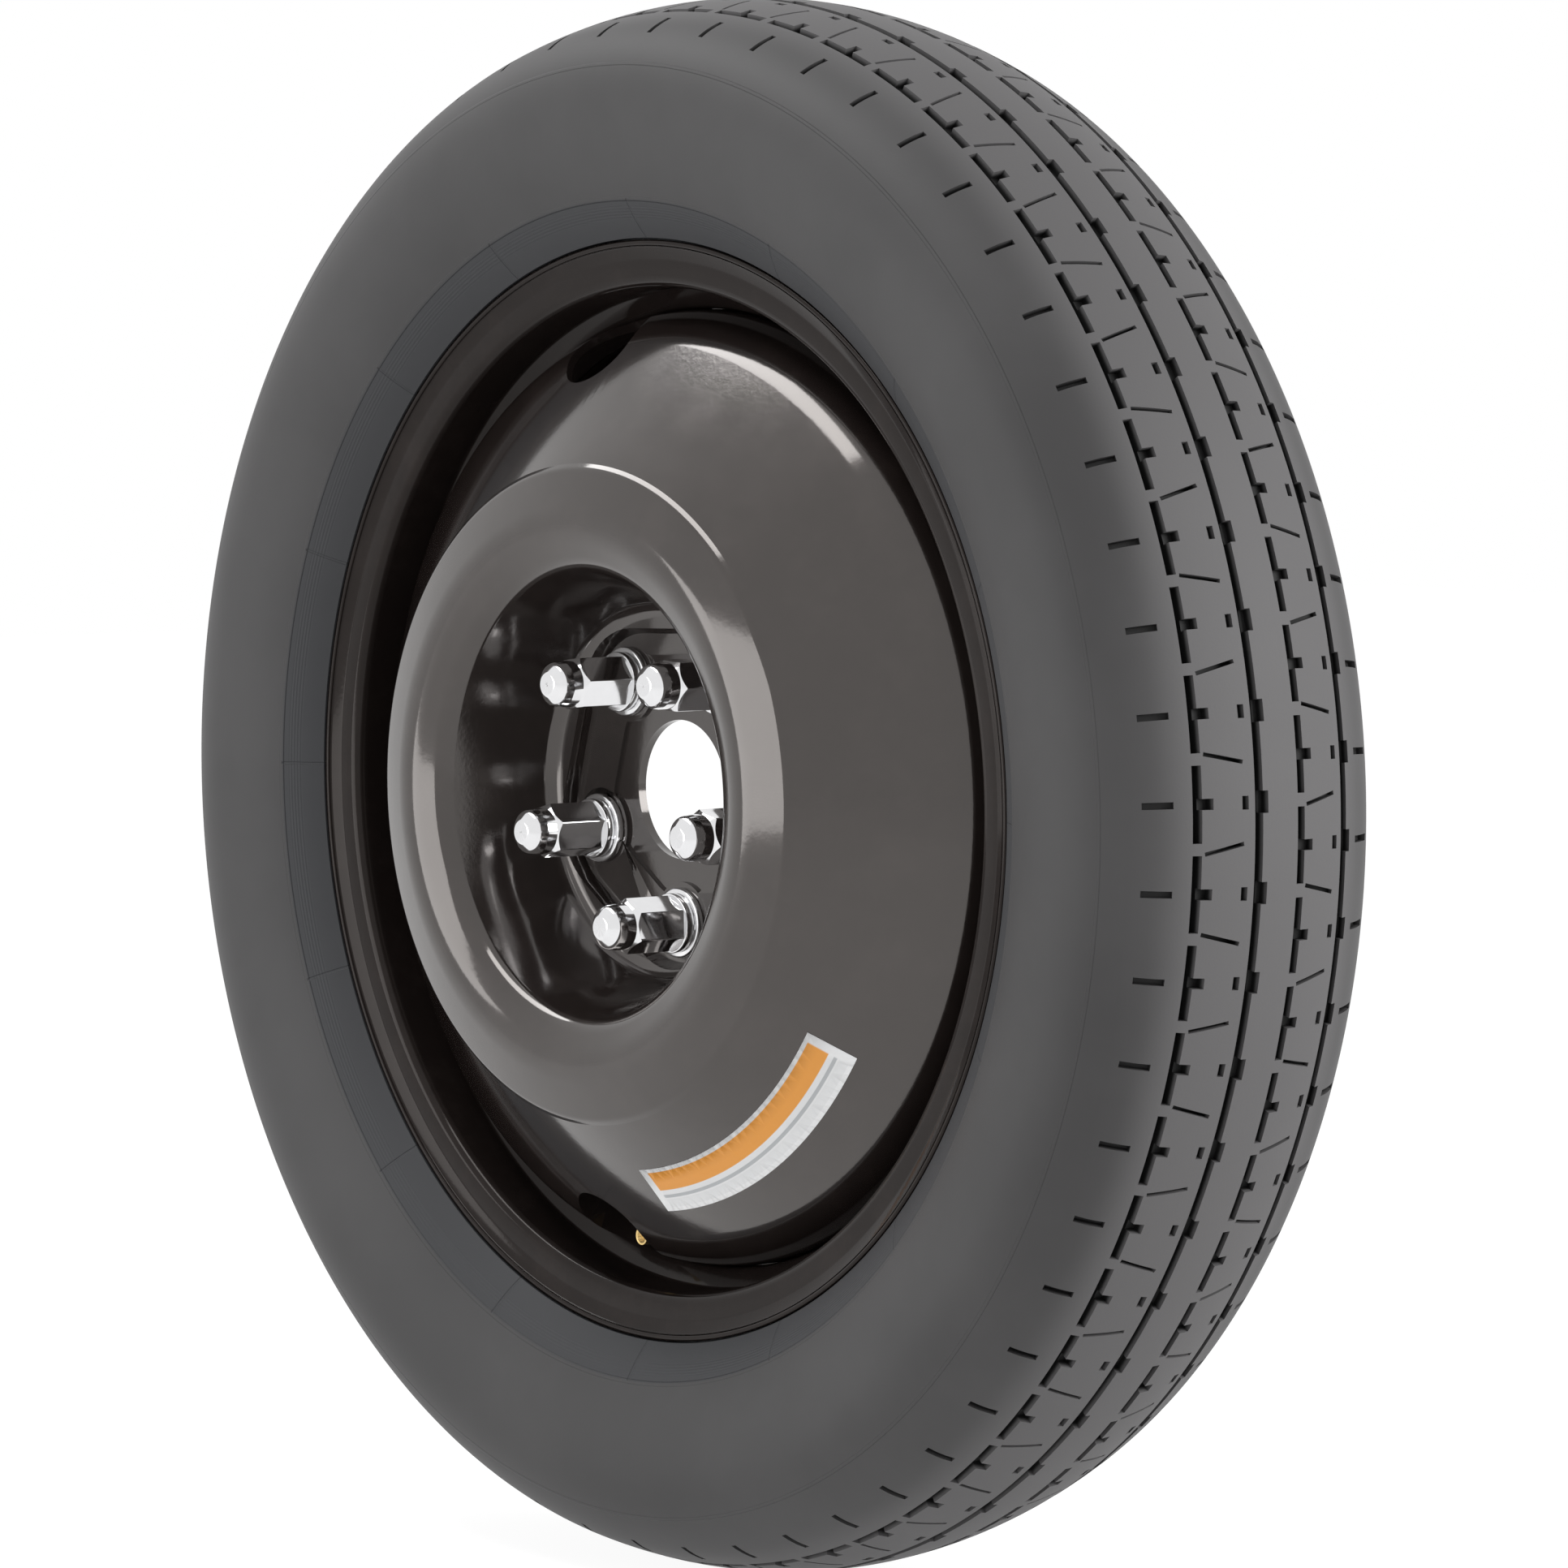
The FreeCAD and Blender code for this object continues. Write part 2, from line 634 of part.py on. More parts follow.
def cut_disc_holes(body):
    """Hub bore, stud holes and the two hand holes in the shoulder."""
    phase = "(dim.stud_phase - dim.vent_phase)"
    bore = new_sketch(body, "bore_outline", "XZ_Plane", "0")
    circle(bore, ("0", "0"), "dim.bore_radius")
    extrude(body, "hub_bore", bore, "-4 * dim.seat_face_y", symmetric=True)
    stud = new_sketch(body, "stud_outline", "XZ_Plane", "0")
    place = (f"{STUD_RADIUS} * cos{phase}", f"{STUD_RADIUS} * sin{phase}")
    circle(stud, place, "dim.stud_hole_radius")
    hole = extrude(body, "stud_hole", stud, "-4 * dim.seat_face_y", symmetric=True)
    pattern(body, "stud_holes", [hole], "dim.stud_count")
    vent = new_sketch(body, "vent_outline", "YZ_Plane", turn_axis=Vector(0, -1, 0), turn="dim.vent_tilt")
    along = f"{on_cone('dim.vent_place')} * cos(dim.vent_tilt) + dim.vent_place * sin(dim.vent_tilt)"
    out = f"(dim.vent_place * cos(dim.vent_tilt) - {on_cone('dim.vent_place')} * sin(dim.vent_tilt))"
    vent.setExpression("AttachmentOffset.Base.x", f"-{out} * sin(dim.vent_tilt)")
    vent.setExpression("AttachmentOffset.Base.z", f"{out} * cos(dim.vent_tilt)")
    circle(vent, (along, "0"), "dim.vent_radius")
    hole = extrude(body, "vent", vent, "2 * dim.vent_radius", symmetric=True)
    pattern(body, "vents", [hole], "2", "dim.vent_spacing")


def make_welds():
    """Fillet weld beads between the skirt's end and the rim's ledge."""
    body = new_body("rim_welds")
    section = new_sketch(body, "weld_section")
    outer = "dim.disc_radius + dim.bead_gap"
    outline(section, [
        (outer, "dim.skirt_end"),
        (outer, "dim.skirt_end + dim.weld_leg"),
        (f"{outer} - dim.weld_leg", "dim.skirt_end"),
    ])
    bead = revolve(body, "weld_bead", section, angle="dim.weld_angle")
    pattern(body, "weld_beads", [bead], "dim.weld_count")
    return body


def stud_axis(sketch):
    """A construction line on the first stud's axis."""
    foot, top = (STUD_RADIUS, NUT_FOOT), (STUD_RADIUS, f"{NUT_FOOT} - dim.nut_height")
    line = sketch.addGeometry(Part.LineSegment(number_point(foot), number_point(top)), True)
    pin(sketch, line, 1, foot)
    pin(sketch, line, 2, top)


def make_nuts():
    """Closed-end nuts with a domed tip, a six-sided grip, a round base and a blind thread bore."""
    body = new_body("lug_nuts")
    section = new_sketch(body, "nut_section")
    stud_axis(section)
    grip = "(dim.nut_flats / sqrt(3))"
    out = lambda radius, rise: (f"{STUD_RADIUS} + {radius}", f"{NUT_FOOT} - ({rise})")
    dome_foot = "dim.nut_height - dim.nut_dome_height"
    outline(section, [
        out("dim.thread_radius", "0"),
        out("dim.thread_radius", "dim.thread_depth"),
        out("0", "dim.thread_depth + dim.thread_radius / sqrt(3)"),
        out("0", "dim.nut_height"),
        (*out("dim.nut_tip_radius", "dim.nut_height"), "dim.nut_dome_round"),
        out("dim.nut_neck_radius", dome_foot),
        out("dim.nut_neck_radius", "dim.nut_hex_top + dim.nut_chamfer"),
        out(grip, "dim.nut_hex_top"),
        out(grip, "dim.nut_base_height"),
        out("dim.nut_base_radius", "dim.nut_base_height"),
        out("dim.nut_base_radius", "0"),
    ])
    turned = revolve(body, "nut_turned", section, axis="Axis0")
    flats = new_sketch(body, "nut_flats_outline", "XZ_Plane", f"-({NUT_FOOT} - dim.nut_base_height)")
    circle(flats, (STUD_RADIUS, "0"), "dim.nut_flats")
    corners = []
    for k in range(6):
        x = f"{STUD_RADIUS} + {grip} * cos({60 * k})"
        corners.append((x, f"{grip} * sin({60 * k})"))
    outline(flats, corners)
    length = "dim.nut_hex_top - dim.nut_base_height + dim.nut_chamfer"
    grip_cut = extrude(body, "nut_grip", flats, length, reverse=True)
    pattern(body, "nut_ring", [turned, grip_cut], "dim.stud_count")
    turn_about_axle(body, "dim.stud_phase")
    return body


def make_washers():
    body = new_body("lug_washers")
    ring = new_sketch(body, "washer_outline", "XZ_Plane", "-dim.seat_face_y")
    circle(ring, (STUD_RADIUS, "0"), "dim.washer_radius")
    circle(ring, (STUD_RADIUS, "0"), "dim.washer_bore")
    washer = extrude(body, "washer", ring, "dim.washer_height", "Pad")
    pattern(body, "washer_ring", [washer], "dim.stud_count")
    turn_about_axle(body, "dim.stud_phase")
    return body


def make_valve():
    """Snap-in valve: rubber body, brass stem, and the core with its pin, spring and gasket."""
    neck = "(dim.valve_hole_radius - dim.valve_neck_gap)"
    front, back = "(dim.well_face - dim.valve_neck_gap)", f"({WELL_BACK} + dim.valve_neck_gap)"
    foot = f"({back} + dim.valve_base_height)"
    bodies = [turned_piece("valve_body", [
        ("dim.stem_radius", "dim.valve_sleeve_end"),
        ("dim.valve_sleeve_radius", "dim.valve_sleeve_end"),
        ("dim.valve_sleeve_radius", f"{front} - dim.valve_collar_height"),
        ("dim.valve_collar_radius", front),
        (neck, front),
        (neck, back),
        ("dim.valve_base_radius", back),
        ("dim.valve_base_radius - dim.rim_wall", foot),
        ("dim.stem_duct_radius", foot),
        ("dim.stem_duct_radius", "dim.stem_foot_y"),
        ("dim.stem_root_radius", "dim.stem_foot_y"),
        ("dim.stem_root_radius", "dim.stem_shoulder_y"),
        ("dim.stem_radius", "dim.stem_shoulder_y"),
    ])]
    bodies.append(turned_piece("valve_stem", [
        ("dim.stem_chamber_radius", "dim.valve_tip_y"),
        ("dim.stem_radius", "dim.valve_tip_y"),
        ("dim.stem_radius", "dim.stem_shoulder_y"),
        ("dim.stem_root_radius", "dim.stem_shoulder_y"),
        ("dim.stem_root_radius", "dim.stem_foot_y"),
        ("dim.stem_duct_radius", "dim.stem_foot_y"),
        ("dim.stem_duct_radius", "dim.stem_chamber_end"),
        ("dim.stem_chamber_radius", "dim.stem_chamber_end"),
    ]))
    thread = "(dim.stem_chamber_radius - dim.core_gap)"
    bodies.append(turned_piece("valve_core_barrel", [
        ("dim.core_cup_radius", "dim.core_top"),
        (thread, "dim.core_top"),
        (thread, "dim.core_step"),
        ("dim.core_tube_radius", "dim.core_step"),
        ("dim.core_tube_radius", "dim.core_end"),
        ("dim.core_guide_radius", "dim.core_end"),
        ("dim.core_guide_radius", "dim.core_step"),
        ("dim.core_cup_radius", "dim.core_step"),
    ]))
    gasket_end = "dim.gasket_top + dim.gasket_height"
    bodies.append(turned_piece("valve_core_gasket", [
        ("dim.core_tube_radius", "dim.gasket_top"),
        (thread, "dim.gasket_top"),
        (thread, gasket_end),
        ("dim.core_tube_radius", gasket_end),
    ]))
    poppet_end = "dim.core_end + dim.poppet_height"
    bodies.append(turned_piece("valve_core_pin", [
        ("0", "dim.pin_top"),
        ("dim.pin_radius", "dim.pin_top"),
        ("dim.pin_radius", "dim.pin_collar_y - dim.pin_collar_height"),
        ("dim.pin_collar_radius", "dim.pin_collar_y - dim.pin_collar_height"),
        ("dim.pin_collar_radius", "dim.pin_collar_y"),
        ("dim.pin_radius", "dim.pin_collar_y"),
        ("dim.pin_radius", "dim.core_end"),
        ("dim.poppet_radius", "dim.core_end"),
        ("dim.poppet_radius", poppet_end),
        ("0", poppet_end),
    ]))
    bodies.append(make_spring())
    for body in bodies:
        stand_at(body, "dim.valve_circle", "dim.valve_phase")
    return bodies


def make_spring():
    """The core's return spring, between the pin's collar and the barrel's step."""
    free = "(dim.core_step - dim.pin_collar_y)"
    helix = doc.addObject("Part::Helix", "spring_path")
    helix.Radius = value("dim.spring_radius")
    helix.setExpression("Radius", "dim.spring_radius")
    helix.setExpression("Height", f"{free} - dim.spring_wire")
    helix.setExpression("Pitch", f"({free} - dim.spring_wire) / dim.spring_turns")
    wire = doc.addObject("Part::RegularPolygon", "spring_wire_outline")
    wire.Polygon = 4
    wire.setExpression("Circumradius", "dim.spring_wire / 2")
    wire.Placement = FreeCAD.Placement(Vector(), FreeCAD.Rotation(Vector(1, 0, 0), 90))
    wire.setExpression("Placement.Base.x", "dim.spring_radius")
    coil = doc.addObject("Part::Sweep", "valve_core_spring")
    coil.Sections = [wire]
    coil.Spine = helix
    coil.Solid = True
    coil.Frenet = True
    coil.Placement = FreeCAD.Placement(Vector(), FreeCAD.Rotation(Vector(1, 0, 0), -90))
    coil.setExpression("Placement.Base.y", "dim.pin_collar_y + dim.spring_wire / 2")
    return coil


def make_label():
    """A curved label on the cone, in the photograph's place."""
    body = new_body("label")
    section = new_sketch(body, "label_section")
    lean = f"atan({CONE_SLOPE})"
    under, over = "dim.label_gap", "(dim.label_gap + dim.label_sheet)"
    corners = []
    for radius, lift in (("inner", under), ("outer", under), ("outer", over), ("inner", over)):
        on = f"dim.label_{radius}"
        corners.append((f"{on} + {lift} * sin({lean})", f"{on_cone(on)} - {lift} * cos({lean})"))
    outline(section, corners)
    revolve(body, "label_sheet", section, angle="dim.label_angle").Reversed = True
    turn_about_axle(body, "dim.label_start")
    return body


def check(pieces):
    """Stop if any object failed, or a piece has no sound shape."""
    failed = [o.Name for o in doc.Objects if {"Invalid", "Error"} & set(o.State)]
    bad = [p.Label for p in pieces if p.Shape.isNull() or not p.Shape.isValid()]
    if failed or bad:
        raise RuntimeError(f"failed objects {failed}, unsound shapes {bad}")


def main():
    pieces = [make_tyre(), make_rim(), make_disc(), make_welds(), make_nuts(), make_washers()]
    pieces += make_valve() + [make_label()]
    doc.recompute()
    check(pieces)
    os.makedirs("parts", exist_ok=True)
    for piece in pieces:
        shape = piece.Shape
        shape.exportStep(f"parts/{piece.Label}.step")
        box = shape.BoundBox
        print(f"{piece.Label}: {len(shape.Solids)} solids, {shape.Volume:.1f} mm3,"
              f" y {box.YMin:.2f} to {box.YMax:.2f}")


main()
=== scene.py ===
import math

import bpy
from mathutils import Matrix, Vector


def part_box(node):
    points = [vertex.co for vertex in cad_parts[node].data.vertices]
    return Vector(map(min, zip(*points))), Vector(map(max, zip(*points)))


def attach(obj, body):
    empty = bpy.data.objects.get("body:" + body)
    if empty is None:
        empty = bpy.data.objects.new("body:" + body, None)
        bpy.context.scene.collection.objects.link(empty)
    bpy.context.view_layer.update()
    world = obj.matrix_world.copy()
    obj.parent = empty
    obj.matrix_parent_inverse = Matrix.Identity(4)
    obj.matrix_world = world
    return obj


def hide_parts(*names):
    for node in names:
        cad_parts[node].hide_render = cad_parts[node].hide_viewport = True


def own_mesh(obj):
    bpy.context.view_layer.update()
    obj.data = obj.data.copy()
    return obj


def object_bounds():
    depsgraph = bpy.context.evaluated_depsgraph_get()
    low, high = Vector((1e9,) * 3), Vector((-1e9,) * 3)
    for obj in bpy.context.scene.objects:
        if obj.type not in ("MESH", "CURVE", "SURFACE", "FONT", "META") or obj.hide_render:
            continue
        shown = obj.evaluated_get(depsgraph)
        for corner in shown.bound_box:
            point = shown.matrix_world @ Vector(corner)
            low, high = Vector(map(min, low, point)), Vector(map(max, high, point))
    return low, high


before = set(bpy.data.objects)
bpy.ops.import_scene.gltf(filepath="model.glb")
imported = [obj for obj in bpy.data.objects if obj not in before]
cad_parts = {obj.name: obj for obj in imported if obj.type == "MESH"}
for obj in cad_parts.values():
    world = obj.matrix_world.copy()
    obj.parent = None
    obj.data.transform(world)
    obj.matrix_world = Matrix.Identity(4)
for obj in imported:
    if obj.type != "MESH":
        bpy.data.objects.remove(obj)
CAD_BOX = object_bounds()

bl_info = {
    "name": "Spare wheel dresser",
    "version": (1, 0, 0),
    "blender": (4, 5, 0),
    "location": "3D View > Sidebar > Spare wheel",
    "description": "Models and finishes a temporary spare wheel on its packed frame",
    "category": "Object",
}

TURN = 2 * math.pi

# Fixed places and sizes, in metres and degrees
STUDS = 5
BORE_RADIUS, STUD_HOLE_RADIUS, BOSS_RADIUS = 0.03, 0.00725, 0.0175
PAD_FACE, WASHER_TOP, GRIP_FOOT = -0.0055, -0.0085, -0.0125
SKIRT_RADIUS, SHOULDER_Y, SHOULDER_BEND = 0.2060, -0.0070, 0.034
RING_RADIUS, RING_Y = 0.1410, -0.0570
HAND_HOLE_RADIUS, HAND_HOLE_PLACE, HAND_HOLE_TILT = 0.0225, 0.197, 47.0
HAND_HOLE_ANGLES = (102.4, -100.0)
VALVE_CIRCLE, VALVE_ANGLE, VALVE_HOLE_RADIUS = 0.1966, -97.2, 0.00575
BEAD_SEAT, BEAD_HEEL, BEAD_EDGE, SIDEWALL_ARC = 0.2186, 0.0505, 0.2366, 0.080
BEAD_BAND_MIDDLE, BEAD_BAND_HALF, BEAD_MARKS = 0.2435, 0.0088, 16
RING_OFFSETS, DASH_OFFSET, HALF_SHIFT = (-0.0114, 0.0395), -0.0395, 0.0509
GROOVE_WIDTH, CUT_LIFT, SLIT_TILT = 0.004, 0.006, 29.0
LABEL_MIDDLE_ANGLE, LABEL_FIELD_ANGLE = -59.25, 22.6

# Segments round the axis
TYRE_STEPS, GROOVE_STEPS, WHEEL_STEPS, NUT_STEPS = 348, 232, 256, 72

# The fitted camera: angles in degrees, distance in metres, focal length and places in the photo's pixels
CAMERA_AZIMUTH, CAMERA_ELEVATION, CAMERA_DISTANCE, CAMERA_FOCAL = 51.955, 3.916, 3.5325, 10163.4
CAMERA_ANCHOR, ANCHOR_PIXEL = (0, -0.0225, 0), (798.14, 974.95)
PHOTO_SIZE, SENSOR_WIDTH = 1932, 36.0
FLOOR_SIZE, FLOOR_GAP = 14.0, 0.0005


# Sizes and colours that a user would change

class TyreSizes(bpy.types.PropertyGroup):
    radius: bpy.props.FloatProperty(
        name="Radius", description="Tyre radius at the crown", default=0.3395, unit="LENGTH")
    crown: bpy.props.FloatProperty(
        name="Crown radius", description="Radius of the crown's arc", default=0.132, unit="LENGTH")
    half_width: bpy.props.FloatProperty(
        name="Half width", description="Half the section width", default=0.077, unit="LENGTH")
    widest: bpy.props.FloatProperty(
        name="Widest at", description="Radius where the section is widest", default=0.290, unit="LENGTH")
    middle: bpy.props.FloatProperty(
        name="Middle plane", description="Place of the middle plane on the wheel axis",
        default=0.034, unit="LENGTH")
    pairs: bpy.props.IntProperty(
        name="Pitch pairs", description="Pairs of tread pitches round the tyre", default=29, min=3)
    phase: bpy.props.FloatProperty(
        name="Tread phase", description="Angle of the first pitch", default=math.radians(2.0),
        subtype="ANGLE")
    groove_depth: bpy.props.FloatProperty(
        name="Groove depth", description="Depth of the tread grooves", default=0.005, unit="LENGTH")
    colour: bpy.props.FloatVectorProperty(
        name="Rubber", description="Colour of the rubber", subtype="COLOR", default=(0.059, 0.0575, 0.0585))


class WheelSizes(bpy.types.PropertyGroup):
    steel: bpy.props.FloatProperty(
        name="Disc wall", description="Thickness of the pressed disc", default=0.0035, unit="LENGTH")
    rim_steel: bpy.props.FloatProperty(
        name="Rim wall", description="Thickness of the rolled rim", default=0.0026, unit="LENGTH")
    stud_radius: bpy.props.FloatProperty(
        name="Stud circle radius", description="Radius of the stud circle", default=0.05715, unit="LENGTH")
    stud_phase: bpy.props.FloatProperty(
        name="Stud phase", description="Angle of the first stud", default=math.radians(127.8),
        subtype="ANGLE")
    paint: bpy.props.FloatVectorProperty(
        name="Paint", description="Colour of the gloss paint", subtype="COLOR",
        default=(0.014, 0.0105, 0.0095))
    plating: bpy.props.FloatVectorProperty(
        name="Plating", description="Colour of the bright nuts", subtype="COLOR", default=(0.80, 0.80, 0.81))


# Shader maths

class Wire:
    """A shader socket that takes part in Python arithmetic."""

    def __init__(self, shader, socket):
        self.shader = shader
        self.socket = socket

    def math(self, operation, *others):
        return self.shader.math(operation, self, *others)

    def __add__(self, other):
        return self.math("ADD", other)

    def __radd__(self, other):
        return self.math("ADD", other)

    def __sub__(self, other):
        return self.math("SUBTRACT", other)

    def __rsub__(self, other):
        return self.shader.math("SUBTRACT", other, self)

    def __mul__(self, other):
        return self.math("MULTIPLY", other)

    def __rmul__(self, other):
        return self.math("MULTIPLY", other)

    def __abs__(self):
        return self.math("ABSOLUTE")


class Shader:
    """A material's node tree with one Principled shader."""

    def __init__(self, name, **constants):
        self.material = bpy.data.materials.new(name)
        self.material.use_nodes = True
        self.tree = self.material.node_tree
        self.tree.nodes.clear()
        output = self.tree.nodes.new("ShaderNodeOutputMaterial")
        self.surface = self.tree.nodes.new("ShaderNodeBsdfPrincipled")
        self.tree.links.new(self.surface.outputs[0], output.inputs["Surface"])
        for key, value in constants.items():
            self.surface.inputs[key.replace("_", " ").title().replace("Ior", "IOR")].default_value = value

    def add(self, kind, settings=None, **inputs):
        """Add a node: its settings first, then a value or a link for each socket, by name or as i0, i1."""
        node = self.tree.nodes.new(f"ShaderNode{kind}")
        for key, value in (settings or {}).items():
            setattr(node, key, value)
        for key, value in inputs.items():
            name = int(key[1:]) if key[0] == "i" and key[1:].isdigit() else key
            self.feed(node.inputs[name], value)
        return node

    def feed(self, socket, value):
        """Link a wire to a socket, or set the socket's value."""
        if isinstance(value, Wire):
            self.tree.links.new(value.socket, socket)
        else:
            socket.default_value = value

    def out(self, node, name=0):
        return Wire(self, node.outputs[name])

    def math(self, operation, *values):
        inputs = {f"i{i}": value for i, value in enumerate(values)}
        return self.out(self.add("Math", {"operation": operation}, **inputs))

    def vary(self, name, value):
        """Feed one of the Principled shader's inputs."""
        self.feed(self.surface.inputs[name], value)

    def mix(self, factor, first, second):
        """Mix two colours. A Mix node keeps its colour sockets at 6 and 7 in and 2 out."""
        node = self.add("Mix", {"data_type": "RGBA"})
        self.feed(node.inputs[0], factor)
        self.feed(node.inputs[6], first if isinstance(first, Wire) else (*first, 1.0))
        self.feed(node.inputs[7], second if isinstance(second, Wire) else (*second, 1.0))
        return Wire(self, node.outputs[2])

    def place(self):
        """Object coordinates as (x, y, z) wires, and the vector itself."""
        vector = self.out(self.add("TexCoord"), "Object")
        parts = self.add("SeparateXYZ", i0=vector)
        return vector, [self.out(parts, i) for i in range(3)]

    def radius(self):
        """Distance from the wheel axis."""
        _, (x, _, z) = self.place()
        return (x * x + z * z).math("SQRT")

    def angle(self):
        """Angle about the wheel axis, from +X to +Z."""
        _, (x, _, z) = self.place()
        return self.math("ARCTAN2", z, x)

    def noise(self, scale, detail=3.0, roughness=0.55):
        vector, _ = self.place()
        node = self.add("TexNoise", Vector=vector, Scale=scale, Detail=detail, Roughness=roughness)
        return self.out(node, "Fac")

    def step(self, value, low, high):
        """0 below low, 1 above high, smooth between."""
        node = self.add("MapRange", {"interpolation_type": "SMOOTHSTEP"})
        self.feed(node.inputs["Value"], value)
        self.feed(node.inputs["From Min"], low)
        self.feed(node.inputs["From Max"], high)
        return self.out(node, "Result")

    def band(self, value, centre, half, soft):
        """1 within half of the centre, falling to 0 over the soft edge."""
        return 1 - self.step(abs(value - centre), half, half + soft)

    def bump(self, height, strength, distance):
        node = self.add("Bump", Height=height, Strength=strength, Distance=distance)
        self.vary("Normal", self.out(node))


def rubber_material(tyre):
    """Moulded tyre rubber: a tread painted paler as painted light from the side lamp, grooves painted black
    as painted shade, a darker bead band, ring lines and radial marks.
    """
    shader = Shader("moulded_rubber", roughness=0.55, specular_ior_level=0.35)
    radius, angle = shader.radius(), shader.angle()
    _, (_, y, _) = shader.place()
    offset = abs(y - tyre.middle)
    cloud = shader.noise(9.0, 4.0)
    fine = shader.noise(900.0, 2.0)
    colour = tyre.colour
    bead = shader.band(radius, BEAD_BAND_MIDDLE, BEAD_BAND_HALF, 0.0012)
    tread = (1 - shader.step(offset, 0.036, 0.058)) * shader.step(radius, 0.29, 0.31)
    base = shader.mix(shader.step(cloud, 0.3, 0.7), [c * 0.88 for c in colour], [c * 1.16 for c in colour])
    # Painted light: the tread is painted nearly twice as pale as the sides, to stand in for the side lamp's
    # light on the tread faces.
    base = shader.mix(tread, base, [c * 1.95 for c in colour])
    base = shader.mix(bead * 0.6, base, (colour[0] * 0.5, colour[1] * 0.56, colour[2] * 0.64))
    # Painted shade: the groove walls and floors are painted near black, for the shade that falls in the cuts.
    base = shader.mix(groove_depth(shader, tyre, radius, offset), base, (0.008, 0.008, 0.008))
    shader.vary("Base Color", base)
    shader.vary("Roughness", 0.50 + 0.14 * cloud + 0.05 * tread)
    ridge = shader.band(radius, 0.2532, 0.0006, 0.0006) + shader.band(radius, 0.3105, 0.0004, 0.0005)
    spoke = shader.math("PINGPONG", angle + TURN, math.pi / BEAD_MARKS)
    marks = shader.band(spoke * radius, 0.0, 0.0003, 0.0004) * bead
    rings = shader.math("SINE", radius * 5200.0) * shader.band(radius, 0.2475, 0.0022, 0.001)
    shader.bump(ridge * 0.6 - marks * 0.8 + fine * 0.05 + rings * 0.06, 0.75, 0.0009)
    return shader.material


def groove_depth(shader, tyre, radius, offset):
    """1 on the walls and floors that lie below the tread's crown or the round shoulder, where the grooves'
    shade is painted.
    """
    size, inset = shoulder_arc(tyre)
    crown = tyre.radius - offset * offset * (0.5 / tyre.crown) - radius
    rise, out = radius - tyre.widest, offset - inset
    shoulder = size - (rise * rise + out * out).math("SQRT")
    edge = shader.step(offset, 0.0465, 0.0475)
    cut = shader.step(crown, 0.0008, 0.0030) * (1 - edge) + shader.step(shoulder, 0.0006, 0.0024) * edge * 0.8
    return cut * shader.step(radius, tyre.widest + 0.012, tyre.widest + 0.016)


def paint_material(name, colour, specular, coat):
    """Thick gloss paint with a slight orange peel and a little dust."""
    shader = Shader(
        name, roughness=0.1, specular_ior_level=specular, specular_tint=(1.0, 0.93, 0.89, 1.0),
        coat_roughness=0.06)
    dust = shader.noise(38.0, 5.0, 0.7)
    peel = shader.noise(420.0, 2.0)
    brown = [c * 1.5 for c in colour]
    shader.vary("Base Color", shader.mix(shader.step(dust, 0.42, 0.8), colour, brown))
    shader.vary("Roughness", 0.05 + 0.10 * dust)
    shader.vary("Coat Weight", coat * (0.7 + 0.6 * dust))
    shader.bump(peel, 0.04, 0.0004)
    return shader.material


def plating_material(colour):
    """Bright plating with fine handling marks."""
    shader = Shader("nut_chrome", metallic=1.0, roughness=0.1)
    marks = shader.noise(260.0, 4.0, 0.7)
    shader.vary("Base Color", shader.mix(marks * 0.4, colour, [c * 0.8 for c in colour]))
    shader.vary("Roughness", 0.05 + 0.10 * marks)
    return shader.material


def brass_material():
    """Machined brass with turning lines."""
    shader = Shader("valve_brass", metallic=1.0, roughness=0.28)
    _, (_, y, _) = shader.place()
    tint = shader.noise(500.0, 3.0)
    shader.vary("Base Color", shader.mix(tint, (0.66, 0.45, 0.17), (0.80, 0.60, 0.28)))
    shader.vary("Roughness", 0.2 + 0.18 * tint)
    shader.bump(shader.math("SINE", y * 8200.0), 0.35, 0.0002)
    return shader.material


def valve_rubber_material():
    """Smooth black rubber of the valve."""
    shader = Shader("valve_rubber", roughness=0.5, specular_ior_level=0.4)
    grain = shader.noise(700.0, 3.0)
    shader.vary("Base Color", shader.mix(grain, (0.016, 0.016, 0.017), (0.03, 0.03, 0.031)))
    shader.vary("Roughness", 0.42 + 0.2 * grain)
    shader.bump(grain, 0.1, 0.0003)
    return shader.material


def spring_material():
    """Drawn steel wire."""
    shader = Shader("spring_steel", metallic=1.0, roughness=0.3)
    grain = shader.noise(1500.0, 2.0)
    shader.vary("Base Color", shader.mix(grain, (0.46, 0.46, 0.47), (0.62, 0.62, 0.62)))
    shader.vary("Roughness", 0.25 + 0.15 * grain)
    return shader.material


def label_material():
    """Plain printed film: a white field, an orange band and a thin grey rule, with no words."""
    shader = Shader("label_film", roughness=0.35, specular_ior_level=0.5)
    radius, angle = shader.radius(), shader.angle()
    wear = shader.noise(120.0, 3.0)
    white = shader.mix(wear, (0.80, 0.81, 0.82), (0.90, 0.90, 0.90))
    sides = shader.band(
        angle, math.radians(LABEL_MIDDLE_ANGLE), math.radians(LABEL_FIELD_ANGLE), math.radians(0.3))
    orange = shader.band(radius, 0.1666, 0.0038, 0.0003) * sides
    rule = shader.band(radius, 0.1732, 0.0005, 0.0003) * sides
    field = shader.band(radius, 0.1762, 0.0016, 0.0003) * sides
    colour = shader.mix(orange, white, (0.87, 0.36, 0.055))
    colour = shader.mix(rule * 0.7, colour, (0.36, 0.38, 0.40))
    colour = shader.mix(field * 0.25, colour, (0.62, 0.63, 0.64))
    shader.vary("Base Color", colour)
    shader.vary("Roughness", 0.28 + 0.15 * wear)
    return shader.material


# Modelling steps

def clear_selection():
    bpy.ops.object.select_all(action="DESELECT")


def active(piece):
    """Select one object alone and make it the active one."""
    clear_selection()
    piece.select_set(True)
    bpy.context.view_layer.objects.active = piece


